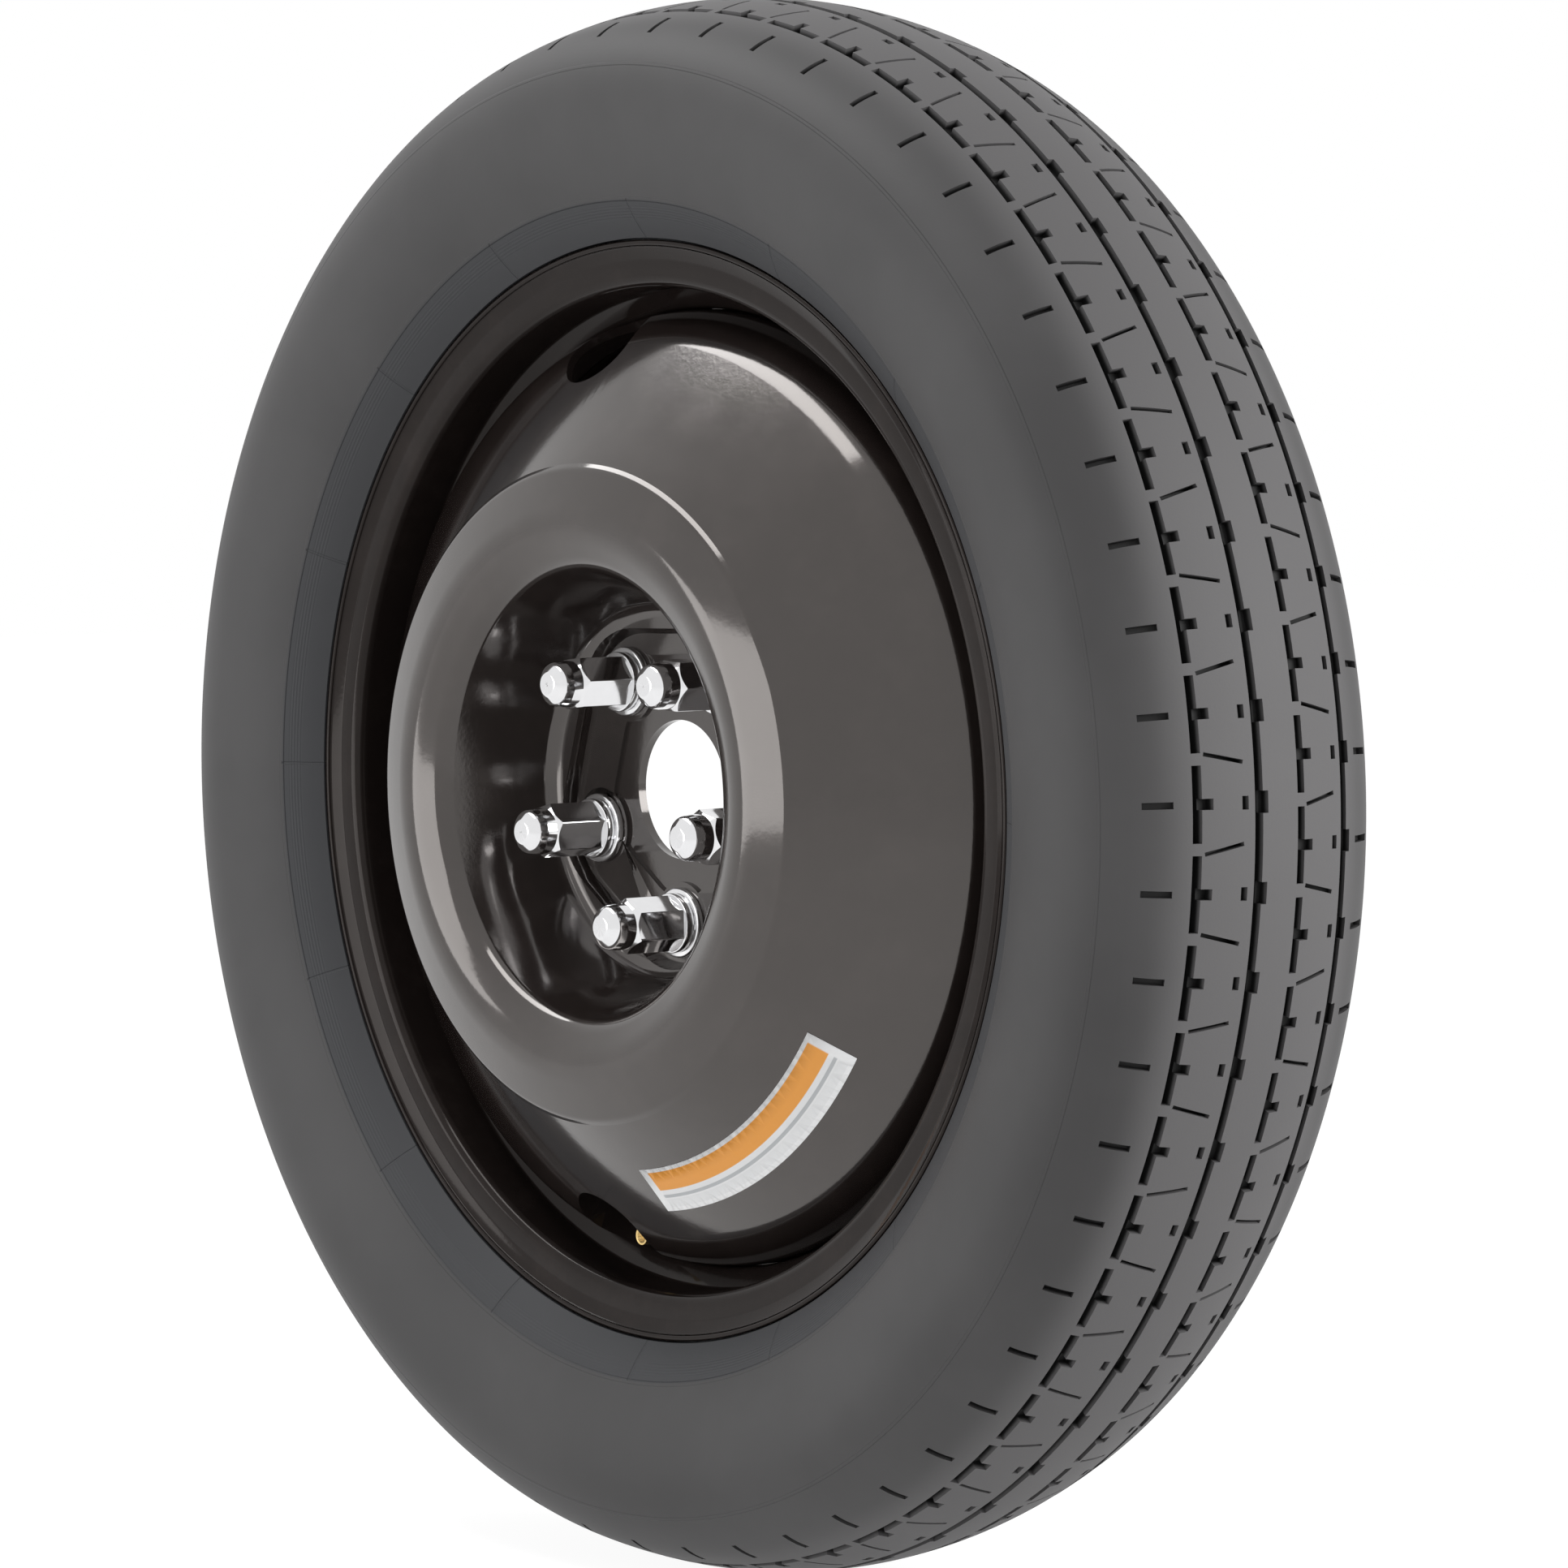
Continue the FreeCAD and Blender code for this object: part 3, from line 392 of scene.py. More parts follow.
def named(name):
    """The active object, with a name for it and its mesh."""
    piece = bpy.context.active_object
    piece.name = name
    piece.data.name = name
    return piece


def rounded(corners):
    """A polyline with its corners rounded. A corner is (radius, y) or (radius, y, round, steps)."""
    points = []
    count = len(corners)
    for i, corner in enumerate(corners):
        here = Vector(corner[:2])
        if len(corner) == 2:
            points.append(here)
            continue
        before = (Vector(corners[i - 1][:2]) - here).normalized()
        after = (Vector(corners[(i + 1) % count][:2]) - here).normalized()
        half = before.angle(after) / 2
        size, steps = corner[2], corner[3]
        centre = here + (before + after).normalized() * (size / math.sin(half))
        start = here + before * (size / math.tan(half)) - centre
        end = here + after * (size / math.tan(half)) - centre
        sweep = start.angle_signed(end)
        for k in range(steps + 1):
            points.append(centre + Matrix.Rotation(-sweep * k / steps, 2) @ start)
    return points


def lathe(name, points, steps):
    """Spin a closed profile of (radius, y) points about the wheel axis."""
    clear_selection()
    bpy.ops.mesh.primitive_circle_add(vertices=len(points), radius=1.0)
    piece = named(name)
    for vertex, (radius, y) in zip(piece.data.vertices, points):
        vertex.co = (radius, y, 0.0)
    bpy.ops.object.mode_set(mode="EDIT")
    bpy.ops.mesh.select_all(action="SELECT")
    bpy.ops.mesh.spin(steps=steps, angle=TURN, center=(0, 0, 0), axis=(0, 1, 0))
    bpy.ops.mesh.select_all(action="SELECT")
    bpy.ops.mesh.remove_doubles(threshold=1e-6)
    bpy.ops.mesh.dissolve_degenerate(threshold=1e-7)
    bpy.ops.mesh.normals_make_consistent(inside=False)
    bpy.ops.object.mode_set(mode="OBJECT")
    return piece


def prism(name, sides, flat, corner_round, y_low, y_high, phase, flare=1.0):
    """A round-cornered prism along the wheel axis, by its flats' distance. flare widens the low end."""
    reach = (flat - corner_round) / math.cos(math.pi / sides)
    clear_selection()
    bpy.ops.mesh.primitive_circle_add(vertices=sides, radius=reach, fill_type="NGON")
    piece = named(name)
    for k, vertex in enumerate(piece.data.vertices):
        angle = phase + TURN * k / sides
        vertex.co = (reach * math.cos(angle), y_high, reach * math.sin(angle))
    bpy.ops.object.mode_set(mode="EDIT")
    bpy.ops.mesh.select_all(action="SELECT")
    corner = flat / math.cos(math.pi / sides) / reach
    bpy.ops.transform.resize(value=(corner, 1, corner), center_override=(0, y_high, 0))
    cut = corner_round * math.tan(math.pi / sides)
    bpy.ops.mesh.bevel(offset=cut, affect="VERTICES", segments=10)
    bpy.ops.mesh.select_all(action="SELECT")
    bpy.ops.mesh.extrude_region_move(TRANSFORM_OT_translate={"value": (0, y_low - y_high, 0)})
    if flare != 1.0:
        bpy.ops.transform.resize(value=(flare, 1, flare), center_override=(0, y_low, 0))
    bpy.ops.mesh.select_all(action="SELECT")
    bpy.ops.mesh.normals_make_consistent(inside=False)
    bpy.ops.object.mode_set(mode="OBJECT")
    return piece


def rod(name, radius, y_low, y_high, centre=(0.0, 0.0), vertices=64):
    """A cylinder along the wheel axis."""
    clear_selection()
    bpy.ops.mesh.primitive_cylinder_add(
        vertices=vertices, radius=radius, depth=y_high - y_low,
        location=(centre[0], (y_low + y_high) / 2, centre[1]), rotation=(math.pi / 2, 0, 0))
    bpy.ops.object.transform_apply(location=True, rotation=True, scale=True)
    return named(name)


def join(name, objects):
    """Join objects into the first one."""
    clear_selection()
    for piece in objects:
        piece.select_set(True)
    bpy.context.view_layer.objects.active = objects[0]
    bpy.ops.object.join()
    return named(name)


def carve(piece, tool, operation="DIFFERENCE"):
    """Boolean a tool into a piece, then delete the tool."""
    active(piece)
    modifier = piece.modifiers.new("carve", "BOOLEAN")
    modifier.operation = operation
    modifier.object = tool
    modifier.solver = "EXACT"
    bpy.ops.object.modifier_apply(modifier=modifier.name)
    active(tool)
    bpy.ops.object.delete()
    if not piece.data.polygons:
        raise RuntimeError(f"{piece.name} was lost in a {operation.lower()}")


def turn_copies(piece, count):
    """Copies of a piece all round the wheel axis, joined to it."""
    step = TURN / count
    copies = [piece]
    for k in range(1, count):
        active(piece)
        bpy.ops.object.duplicate()
        copy = bpy.context.active_object
        copy.data.transform(Matrix.Rotation(-step * k, 4, "Y"))
        copies.append(copy)
    return join(piece.name, copies)


def soften(piece, width, angle):
    """Bevel the sharp edges by a width, if any, so that they catch light, and shade smooth."""
    active(piece)
    if width:
        modifier = piece.modifiers.new("edges", "BEVEL")
        modifier.width = width
        modifier.segments = 2
        modifier.limit_method = "ANGLE"
        modifier.angle_limit = math.radians(angle)
        bpy.ops.object.modifier_apply(modifier=modifier.name)
    bpy.ops.object.shade_smooth_by_angle(angle=math.radians(angle))


def finish_piece(piece, material, body, slot, *nodes):
    """Give a piece its material and body, and let it replace frame nodes. The slot is not used."""
    piece.data.materials.clear()
    piece.data.materials.append(material)
    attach(piece, body)
    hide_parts(*nodes)


def merged_copy(node, name):
    """A smooth copy of a frame node, with its triangles joined."""
    clear_selection()
    piece = bpy.data.objects.new(name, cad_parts[node].data.copy())
    bpy.context.collection.objects.link(piece)
    active(piece)
    bpy.ops.object.mode_set(mode="EDIT")
    bpy.ops.mesh.select_all(action="SELECT")
    bpy.ops.mesh.remove_doubles(threshold=1e-6)
    bpy.ops.object.mode_set(mode="OBJECT")
    bpy.ops.object.shade_smooth_by_angle(angle=math.radians(32))
    return piece


# Tyre

def arc_points(centre, size, start, end, steps):
    """Points on an arc about (radius, offset), by angle from the radial direction."""
    points = []
    for k in range(steps + 1):
        turn = start + (end - start) * k / steps
        points.append((centre[0] + size * math.cos(turn), centre[1] + size * math.sin(turn)))
    return points


def shoulder_arc(tyre):
    """The round shoulder's radius, and its centre's distance from the tyre's middle."""
    rise = tyre.widest - (tyre.radius - tyre.crown)
    size = (tyre.crown**2 - tyre.half_width**2 - rise**2) / (2 * (tyre.crown - tyre.half_width))
    return size, tyre.half_width - size


def tyre_profile(tyre):
    """The casing's section as (radius, y), outboard bead first."""
    crown_centre = tyre.radius - tyre.crown
    shoulder, inset = shoulder_arc(tyre)
    tilt = math.atan2(inset, tyre.widest - crown_centre)
    low = math.asin((tyre.widest - BEAD_EDGE) / SIDEWALL_ARC)
    side = (tyre.widest, tyre.half_width - SIDEWALL_ARC)
    half = arc_points(side, SIDEWALL_ARC, math.pi / 2 + low, math.pi / 2, 12)
    half += arc_points((tyre.widest, inset), shoulder, math.pi / 2, tilt, 18)[1:]
    crown = arc_points((crown_centre, 0.0), tyre.crown, tilt, -tilt, 24)[1:-1]
    bead = [(BEAD_SEAT, 0.0315), (BEAD_SEAT, BEAD_HEEL), (BEAD_EDGE, BEAD_HEEL)]
    liner = [(0.236, 0.039), (0.29, 0.0685), (0.316, 0.053), (0.3265, 0.031)]
    left = [(r, -y) for r, y in bead + half]
    section = left + [(r, -y) for r, y in crown] + [(r, y) for r, y in reversed(bead + half)]
    section += liner + [(r, -y) for r, y in reversed(liner)]
    return [(r, y + tyre.middle) for r, y in section]


def crown_at(tyre, offset):
    """The crown's radius at an offset from the tyre's middle."""
    return tyre.radius - tyre.crown + math.sqrt(tyre.crown**2 - offset**2)


def tread_box(tyre, offset, wide, length, depth, turn, slant=0.0):
    """A cutter on the tread: its centre's offset, size along the axis and round the tyre, depth and angle."""
    floor = crown_at(tyre, offset) - depth
    high = CUT_LIFT + depth
    clear_selection()
    bpy.ops.mesh.primitive_cube_add(size=1.0)
    piece = named("tread_cut")
    centre = (floor + high / 2, tyre.middle + offset, 0)
    place = Matrix.Rotation(-turn, 4, "Y") @ Matrix.Translation(centre)
    lean = Matrix.Rotation(slant, 4, "X")
    piece.data.transform(place @ lean @ Matrix.Diagonal((high, wide, length, 1.0)))
    return piece


def slit_box(tyre, side, turn):
    """A cutter across a round shoulder, square to its surface."""
    shoulder, inset = shoulder_arc(tyre)
    tilt = math.radians(SLIT_TILT)
    clear_selection()
    bpy.ops.mesh.primitive_cube_add(size=1.0)
    piece = named("slit_cut")
    out = inset + shoulder * math.sin(tilt)
    centre = (tyre.widest + shoulder * math.cos(tilt), tyre.middle + side * out, 0)
    place = Matrix.Rotation(-turn, 4, "Y") @ Matrix.Translation(centre)
    lean = Matrix.Rotation(side * tilt, 4, "Z")
    piece.data.transform(place @ lean @ Matrix.Diagonal((0.007, 0.013, 0.0028, 1.0)))
    return piece


def pair_cutters(tyre, fine):
    """The cutters of two neighbouring pitches, for the main cuts or the fine ones."""
    pitch = math.pi / tyre.pairs
    length = tyre.radius * math.sin(pitch)
    cutters = []
    bridge, sipe, rise = 0.0055, 0.018, 0.004
    for shift, start, side in ((0.0, 0.0, -1), (HALF_SHIFT, 0.5, 1)):
        for k in range(2):
            at = (start + k) * pitch + tyre.phase
            groove = shift + DASH_OFFSET
            if fine:
                stub, dimple, notch = groove + 0.0042, shift - 0.018, shift - 0.0084
                cutters.append(tread_box(tyre, stub, wide=0.0054, length=0.0045, depth=0.004, turn=at))
                cutters.append(tread_box(tyre, dimple, wide=0.003, length=0.0055, depth=0.003, turn=at))
                cutters.append(tread_box(tyre, notch, wide=0.0034, length=0.009, depth=0.0042, turn=at))
                continue
            cutters.append(tread_box(tyre, groove, GROOVE_WIDTH, length - bridge, tyre.groove_depth, at))
            lean = math.atan2(rise, sipe) * (1 if k else -1)
            cutters.append(tread_box(tyre, shift - 0.0275, sipe, 0.0017, 0.0045, at + pitch / 2, lean))
            cutters.append(slit_box(tyre, side, at))
    return join("fine_cuts" if fine else "main_cuts", cutters)


def ring_cutter(tyre, offset):
    """A cutter for a straight groove round the tyre."""
    floor = crown_at(tyre, offset) - tyre.groove_depth
    top = tyre.radius + CUT_LIFT
    low, high = tyre.middle + offset - GROOVE_WIDTH / 2, tyre.middle + offset + GROOVE_WIDTH / 2
    return lathe("ring_cut", [(floor, low), (top, low), (top, high), (floor, high)], GROOVE_STEPS)


class SPARE_OT_tyre(bpy.types.Operator):
    """Model the tyre: spin its section and carve the tread"""
    bl_idname = "spare.tyre"
    bl_label = "Tyre"

    def execute(self, context):
        tyre = context.scene.spare_tyre
        piece = lathe("tyre_casing", tyre_profile(tyre), TYRE_STEPS)
        for offset in RING_OFFSETS:
            carve(piece, ring_cutter(tyre, offset))
        for fine in (False, True):
            carve(piece, turn_copies(pair_cutters(tyre, fine), tyre.pairs))
        soften(piece, 0.0, 33.0)
        finish_piece(piece, rubber_material(tyre), "wheel", "tyre_rubber", "tyre")
        return {"FINISHED"}


# Wheel

def offset_chain(corners, wall):
    """Corners of a parallel chain on the left, at the wall's distance."""
    points = [Vector(c[:2]) for c in corners]
    steps = [(b - a).normalized() for a, b in zip(points, points[1:])]
    lefts = [Vector((-s.y, s.x)) for s in steps]
    moves = [lefts[0]]
    moves += [(a + b) / (1 + a.dot(b)) for a, b in zip(lefts, lefts[1:])]
    moves.append(lefts[-1])
    return [p + m * wall for p, m in zip(points, moves)]


def sheet_profile(corners, wall, tip=0.0):
    """A closed section of bent sheet, with inner and outer rounds. tip rounds the sheet's edges."""
    backs = offset_chain(corners, wall)
    front, back = [], []
    for i, (corner, rear) in enumerate(zip(corners, backs)):
        if len(corner) == 2:
            edge = (tip, 3) if tip else ()
            front.append((*corner, *edge))
            back.append((rear.x, rear.y, *edge))
            continue
        before = Vector(corner[:2]) - Vector(corners[i - 1][:2])
        after = Vector(corners[i + 1][:2]) - Vector(corner[:2])
        left_turn = before.x * after.y - before.y * after.x > 0
        size, steps = corner[2], corner[3]
        outer, inner = size + wall, size
        front.append((*corner[:2], outer if left_turn else inner, steps))
        back.append((rear.x, rear.y, inner if left_turn else outer, steps))
    return rounded(front + back[::-1])


class SPARE_OT_rim(bpy.types.Operator):
    """Model the rolled rim with rounded bends and the valve hole"""
    bl_idname = "spare.rim"
    bl_label = "Rim"

    def execute(self, context):
        wheel = context.scene.spare_wheel
        middle, bend = 0.034, (0.0022, 4)
        lip, flange, seat, ledge, well = 0.2358, 0.2278, 0.2183, 0.2089, 0.1865
        corners = [
            (lip, middle - 0.0565),
            (lip, middle - 0.0535, 0.0012, 4),
            (flange, middle - 0.0508, 0.004, 4),
            (seat, middle - 0.0508, *bend),
            (seat, middle - 0.0283, *bend),
            (ledge, 0.0105, *bend),
            (ledge, 0.0312, *bend),
            (well, 0.0312, *bend),
            (well, 0.054, 0.004, 5),
            (seat, middle + 0.0283, 0.004, 5),
            (seat, middle + 0.0508, *bend),
            (flange, middle + 0.0508, 0.004, 4),
            (lip, middle + 0.0535, 0.0012, 4),
            (lip, middle + 0.0565),
        ]
        piece = lathe("rim_hoop", sheet_profile(corners, wheel.rim_steel, tip=0.0011), WHEEL_STEPS)
        angle = math.radians(VALVE_ANGLE)
        centre = (VALVE_CIRCLE * math.cos(angle), VALVE_CIRCLE * math.sin(angle))
        carve(piece, rod("valve_hole", VALVE_HOLE_RADIUS, 0.022, 0.038, centre))
        soften(piece, 0.0, 35.0)
        paint = paint_material("rim_paint", wheel.paint, 0.16, 0.03)
        finish_piece(piece, paint, "wheel", "black_paint", "rim")
        return {"FINISHED"}


def disc_profile(wall):
    """The pressing's section from the bore to the skirt: floor, bowl, crest, ring, cone and skirt."""
    corners = [
        (BORE_RADIUS, -0.0110),
        (0.0800, -0.0110, 0.008, 8),
        (0.0970, -0.0600, 0.008, 10),
        (0.1150, -0.0665, 0.022, 10),
        (0.1388, -0.0592, 0.0015, 3),
        (RING_RADIUS, RING_Y, 0.0015, 3),
        (SKIRT_RADIUS, SHOULDER_Y, SHOULDER_BEND, 18),
        (SKIRT_RADIUS, 0.0200),
    ]
    return sheet_profile(corners, wall)


def hand_hole(angle):
    """A round cutter square to the disc's shoulder."""
    tilt = math.radians(HAND_HOLE_TILT)
    slope = (SHOULDER_Y - RING_Y) / (SKIRT_RADIUS - RING_RADIUS)
    place = (HAND_HOLE_PLACE, SHOULDER_Y - (SKIRT_RADIUS - HAND_HOLE_PLACE) * slope)
    clear_selection()
    bpy.ops.mesh.primitive_cylinder_add(vertices=64, radius=HAND_HOLE_RADIUS, depth=0.045)
    piece = named("hand_hole")
    lean = Matrix.Rotation(-tilt, 4, "Z") @ Matrix.Rotation(math.pi / 2, 4, "Y")
    piece.data.transform(Matrix.Rotation(-angle, 4, "Y") @ Matrix.Translation((*place, 0)) @ lean)
    return piece


class SPARE_OT_disc(bpy.types.Operator):
    """Model the pressed disc, its hub pad, stud holes and hand holes"""
    bl_idname = "spare.disc"
    bl_label = "Wheel disc"

    def execute(self, context):
        wheel = context.scene.spare_wheel
        phase = wheel.stud_phase
        piece = lathe("disc_pressing", disc_profile(wheel.steel), WHEEL_STEPS)
        carve(piece, prism("pad", STUDS, 0.0715, 0.0385, -0.00925, 0.0, phase), "UNION")
        carve(piece, prism("hollow", STUDS, 0.067, 0.034, -0.013, PAD_FACE, phase, flare=1.05))
        carve(piece, prism("recess", STUDS, 0.043, 0.026, -0.009, -0.004, phase))
        studs = []
        for k in range(STUDS):
            angle = phase + TURN * k / STUDS
            studs.append((wheel.stud_radius * math.cos(angle), wheel.stud_radius * math.sin(angle)))
        for centre in studs:
            carve(piece, rod("boss", BOSS_RADIUS, PAD_FACE, -0.0035, centre), "UNION")
        carve(piece, rod("bore", BORE_RADIUS, -0.02, 0.01, vertices=96))
        for centre in studs:
            carve(piece, rod("stud", STUD_HOLE_RADIUS, -0.02, 0.01, centre))
        for angle in HAND_HOLE_ANGLES:
            carve(piece, hand_hole(math.radians(angle)))
        soften(piece, 0.0005, 35.0)
        paint = paint_material("disc_paint", wheel.paint, 0.85, 0.3)
        finish_piece(piece, paint, "wheel", "black_paint", "wheel_disc")
        welds = merged_copy("rim_welds", "weld_beads")
        finish_piece(welds, paint, "wheel", "black_paint", "rim_welds")
        return {"FINISHED"}


def nut_profile(foot):
    """The turned outline of a closed-end nut with a blind bore, tip towards -Y."""
    heights = [
        (0.0060, 0.0), (0.0060, 0.026), (0.00002, 0.0295), (0.00002, 0.0415),
        (0.0050, 0.0415, 0.002, 4), (0.0093, 0.0382, 0.0035, 5),
        (0.0100, 0.0340, 0.003, 3), (0.0100, 0.0292),
        (0.01212, 0.0270), (0.01212, 0.0040), (0.0129, 0.0040, 0.0004, 2), (0.0129, 0.0, 0.0008, 3),
    ]
    return [(p.x, foot - p.y) for p in rounded(heights)]


class SPARE_OT_nuts(bpy.types.Operator):
    """Model one closed-end nut and its washer, and copy them round the stud circle"""
    bl_idname = "spare.nuts"
    bl_label = "Nuts and washers"

    def execute(self, context):
        wheel = context.scene.spare_wheel
        plating = plating_material(wheel.plating)
        place = Matrix.Rotation(-wheel.stud_phase, 4, "Y") @ Matrix.Translation((wheel.stud_radius, 0, 0))
        nut = lathe("nut_set", nut_profile(WASHER_TOP), NUT_STEPS)
        grip = prism("grip", 6, 0.0105, 0.0006, -0.06, GRIP_FOOT, 0.0)
        base = rod("base", 0.02, GRIP_FOOT, -0.004)
        carve(grip, base, "UNION")
        carve(nut, grip, "INTERSECT")
        soften(nut, 0.0003, 25.0)
        nut.data.transform(place)
        nuts = turn_copies(nut, STUDS)
        finish_piece(nuts, plating, "wheel", "nut_chrome", "lug_nuts")
        ring = rounded([
            (0.007, PAD_FACE), (0.015, PAD_FACE, 0.0004, 2),
            (0.015, WASHER_TOP, 0.0008, 3), (0.007, WASHER_TOP, 0.0004, 2),
        ])
        washer = lathe("washer_set", ring, NUT_STEPS)
        soften(washer, 0.0, 35.0)
        washer.data.transform(place)
        washers = turn_copies(washer, STUDS)
        finish_piece(washers, plating, "wheel", "nut_chrome", "lug_washers")
        return {"FINISHED"}


class SPARE_OT_valve(bpy.types.Operator):
    """Finish the valve's rubber, brass, core and spring"""
    bl_idname = "spare.valve"
    bl_label = "Valve"

    def execute(self, context):
        rubber, brass, steel = valve_rubber_material(), brass_material(), spring_material()
        finishes = {
            "valve_body": (rubber, "wheel", "valve_rubber"),
            "valve_stem": (brass, "wheel", "valve_brass"),
            "valve_core_barrel": (brass, "wheel", "valve_brass"),
            "valve_core_gasket": (rubber, "wheel", "valve_rubber"),
            "valve_core_pin": (brass, "valve_pin", "valve_brass"),
            "valve_core_spring": (steel, "wheel", "spring_steel"),
        }
        for node, (material, body, slot) in finishes.items():
            piece = merged_copy(node, f"{node}_finish")
            finish_piece(piece, material, body, slot, node)
            if node == "valve_core_spring":
                low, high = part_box(node)
                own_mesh(piece)
        return {"FINISHED"}


class SPARE_OT_label(bpy.types.Operator):
    """Finish the plain curved label"""
    bl_idname = "spare.label"
    bl_label = "Label"

    def execute(self, context):
        piece = merged_copy("label", "label_film_sheet")
        bpy.ops.object.shade_flat()
        finish_piece(piece, label_material(), "wheel", "label_film", "label")
        return {"FINISHED"}


# Stage

def area_light(name, place, target, size, power, spin=0.0):
    """A rectangular lamp aimed at a target. spin turns it about its own aim."""
    data = bpy.data.lights.new(name, "AREA")
    data.shape = "RECTANGLE"
    data.size, data.size_y = size
    data.energy = power
    lamp = bpy.data.objects.new(name, data)
    bpy.context.collection.objects.link(lamp)
    lamp.location = place
    aim = (Vector(target) - Vector(place)).to_track_quat("-Z", "Y").to_matrix()
    lamp.rotation_euler = (aim @ Matrix.Rotation(math.radians(spin), 3, "Z")).to_euler()


def white_world(ambient):
    """A white surround for the camera and reflections, and an even soft light on the object."""
    world = bpy.data.worlds.new("studio")
    world.use_nodes = True
    nodes, links = world.node_tree.nodes, world.node_tree.links
    nodes.clear()
    output = nodes.new("ShaderNodeOutputWorld")
    lit, seen = nodes.new("ShaderNodeBackground"), nodes.new("ShaderNodeBackground")
    path, mix = nodes.new("ShaderNodeLightPath"), nodes.new("ShaderNodeMixShader")
    lit.inputs["Strength"].default_value = ambient
    lit.inputs["Color"].default_value = (1, 1, 1, 1)
    seen.inputs["Color"].default_value = (1, 1, 1, 1)
    links.new(lit.outputs[0], mix.inputs[1])
    links.new(seen.outputs[0], mix.inputs[2])
    links.new(any_ray(nodes, links, path), mix.inputs[0])
    links.new(mix.outputs[0], output.inputs["Surface"])
    bpy.context.scene.world = world


def any_ray(nodes, links, path):
    """1 for a ray from the camera, a reflection or a transmission."""
    socket = path.outputs["Is Camera Ray"]
    for name in ("Is Glossy Ray", "Is Transmission Ray"):
        most = nodes.new("ShaderNodeMath")
        most.operation = "MAXIMUM"
        links.new(socket, most.inputs[0])
        links.new(path.outputs[name], most.inputs[1])
        socket = most.outputs[0]
    return socket


def floor_material():
    """A pale floor that the camera sees as nearly white, and that keeps the shadow."""
    material = bpy.data.materials.new("pale_floor")
    material.use_nodes = True
    nodes, links = material.node_tree.nodes, material.node_tree.links
    nodes.clear()
    output = nodes.new("ShaderNodeOutputMaterial")
    matte, glow = nodes.new("ShaderNodeBsdfDiffuse"), nodes.new("ShaderNodeEmission")
    matte.inputs["Color"].default_value = (0.92, 0.92, 0.92, 1)
    path, mix = nodes.new("ShaderNodeLightPath"), nodes.new("ShaderNodeMixShader")
    share = nodes.new("ShaderNodeMath")
    share.operation = "MULTIPLY"
    share.inputs[1].default_value = 0.8
    glow.inputs["Strength"].default_value = 1.16
    links.new(any_ray(nodes, links, path), share.inputs[0])
    links.new(share.outputs[0], mix.inputs[0])
    links.new(matte.outputs[0], mix.inputs[1])
    links.new(glow.outputs[0], mix.inputs[2])
    links.new(mix.outputs[0], output.inputs["Surface"])
    return material


def photo_camera():
    """A long lens at the photograph's angle, aimed so that no lens shift is needed."""
    azimuth, elevation = math.radians(CAMERA_AZIMUTH), math.radians(CAMERA_ELEVATION)
    level = math.cos(elevation)
    back = Vector((math.sin(azimuth) * level, -math.cos(azimuth) * level, math.sin(elevation)))
    right = Vector((math.cos(azimuth), math.sin(azimuth), 0))
    up = back.cross(right)
    anchor = Vector(CAMERA_ANCHOR)
    across, down = PHOTO_SIZE / 2 - ANCHOR_PIXEL[0], ANCHOR_PIXEL[1] - PHOTO_SIZE / 2
    target = anchor + (right * across + up * down) * (CAMERA_DISTANCE / CAMERA_FOCAL)
    data = bpy.data.cameras.new("photo_camera")
    data.sensor_width = SENSOR_WIDTH
    data.lens = SENSOR_WIDTH * CAMERA_FOCAL / PHOTO_SIZE
    camera = bpy.data.objects.new("photo_camera", data)
    bpy.context.collection.objects.link(camera)
    camera.location = anchor + back * CAMERA_DISTANCE
    camera.rotation_euler = (target - camera.location).to_track_quat("-Z", "Y").to_euler()
    bpy.context.scene.camera = camera


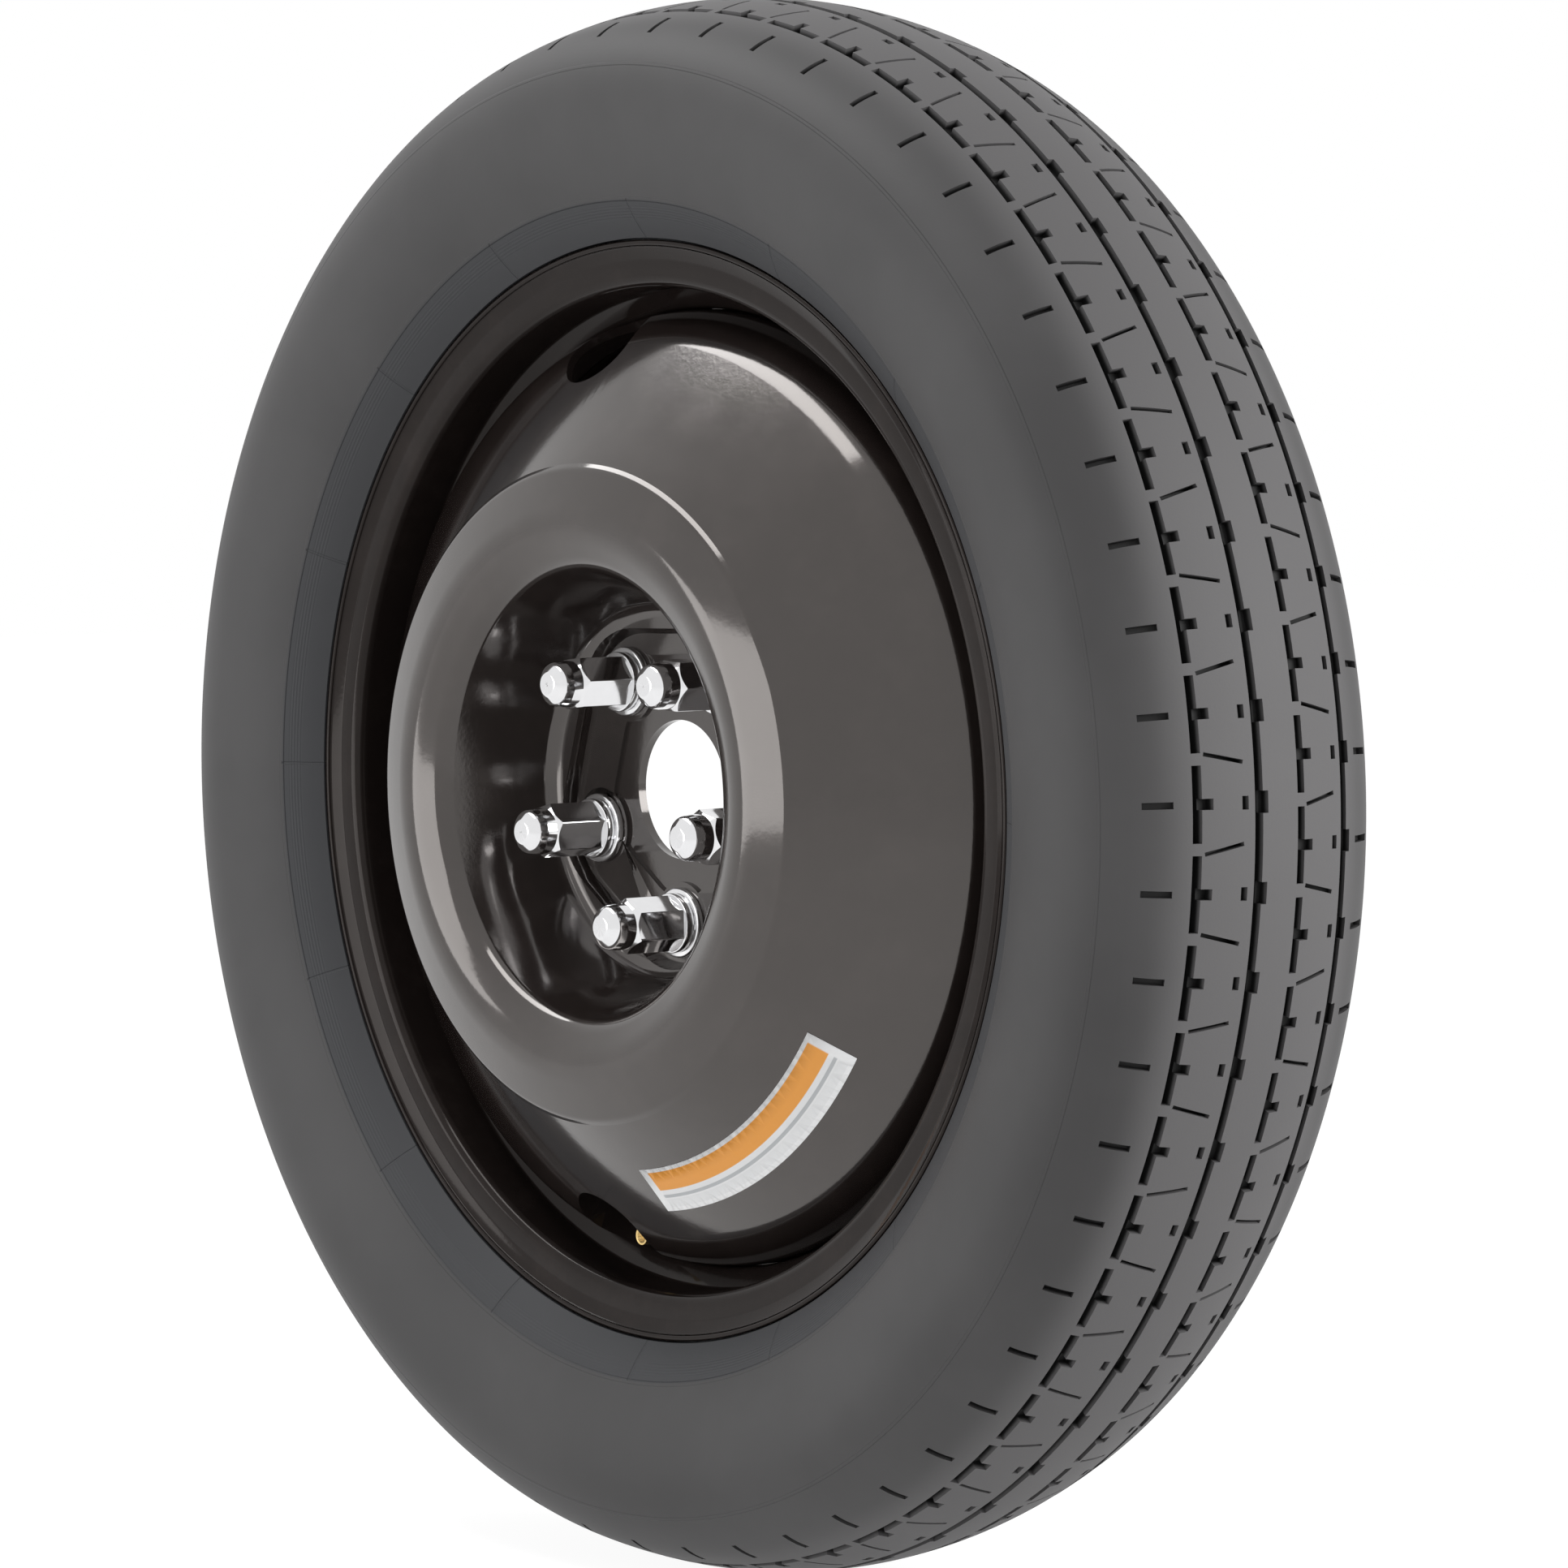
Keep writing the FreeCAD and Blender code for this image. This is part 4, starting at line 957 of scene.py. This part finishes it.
class SPARE_OT_stage(bpy.types.Operator):
    """Set the floor, the soft lights and the camera"""
    bl_idname = "spare.stage"
    bl_label = "Stage"

    def execute(self, context):
        clear_selection()
        bpy.ops.mesh.primitive_plane_add(size=FLOOR_SIZE, location=(0, 0, CAD_BOX[0][2] - FLOOR_GAP))
        floor = named("pale_floor")
        floor.data.materials.append(floor_material())
        white_world(0.5)
        area_light(
            "overhead", place=(-0.80, -0.55, 1.6), target=(-0.80, -0.55, 0), size=(2.05, 0.50), power=19,
            spin=-23.8)
        area_light("side", place=(2.3, 1.3, 0.8), target=(0, 0, 0), size=(1.4, 1.4), power=46)
        area_light("front", place=(-0.9, -2.5, 0.2), target=(0, 0, -0.1), size=(1.8, 1.0), power=16)
        photo_camera()
        context.scene.view_settings.view_transform = "Standard"
        return {"FINISHED"}


class SPARE_PT_panel(bpy.types.Panel):
    """Steps and sizes of the spare wheel"""
    bl_label = "Spare wheel"
    bl_idname = "SPARE_PT_panel"
    bl_space_type = "VIEW_3D"
    bl_region_type = "UI"
    bl_category = "Spare wheel"

    def draw(self, context):
        for operator in OPERATORS:
            self.layout.operator(operator.bl_idname)
        for group in (context.scene.spare_tyre, context.scene.spare_wheel):
            for name in group.__annotations__:
                self.layout.prop(group, name)


OPERATORS = (
    SPARE_OT_tyre, SPARE_OT_disc, SPARE_OT_rim, SPARE_OT_nuts, SPARE_OT_valve, SPARE_OT_label, SPARE_OT_stage)
CLASSES = (TyreSizes, WheelSizes, *OPERATORS, SPARE_PT_panel)


def register():
    for cls in CLASSES:
        bpy.utils.register_class(cls)
    bpy.types.Scene.spare_tyre = bpy.props.PointerProperty(type=TyreSizes)
    bpy.types.Scene.spare_wheel = bpy.props.PointerProperty(type=WheelSizes)


def unregister():
    del bpy.types.Scene.spare_tyre
    del bpy.types.Scene.spare_wheel
    for cls in reversed(CLASSES):
        bpy.utils.unregister_class(cls)


def main():
    register()
    bpy.ops.spare.tyre()
    bpy.ops.spare.disc()
    bpy.ops.spare.rim()
    bpy.ops.spare.nuts()
    bpy.ops.spare.valve()
    bpy.ops.spare.label()
    bpy.ops.spare.stage()


if __name__ == "__main__":
    main()
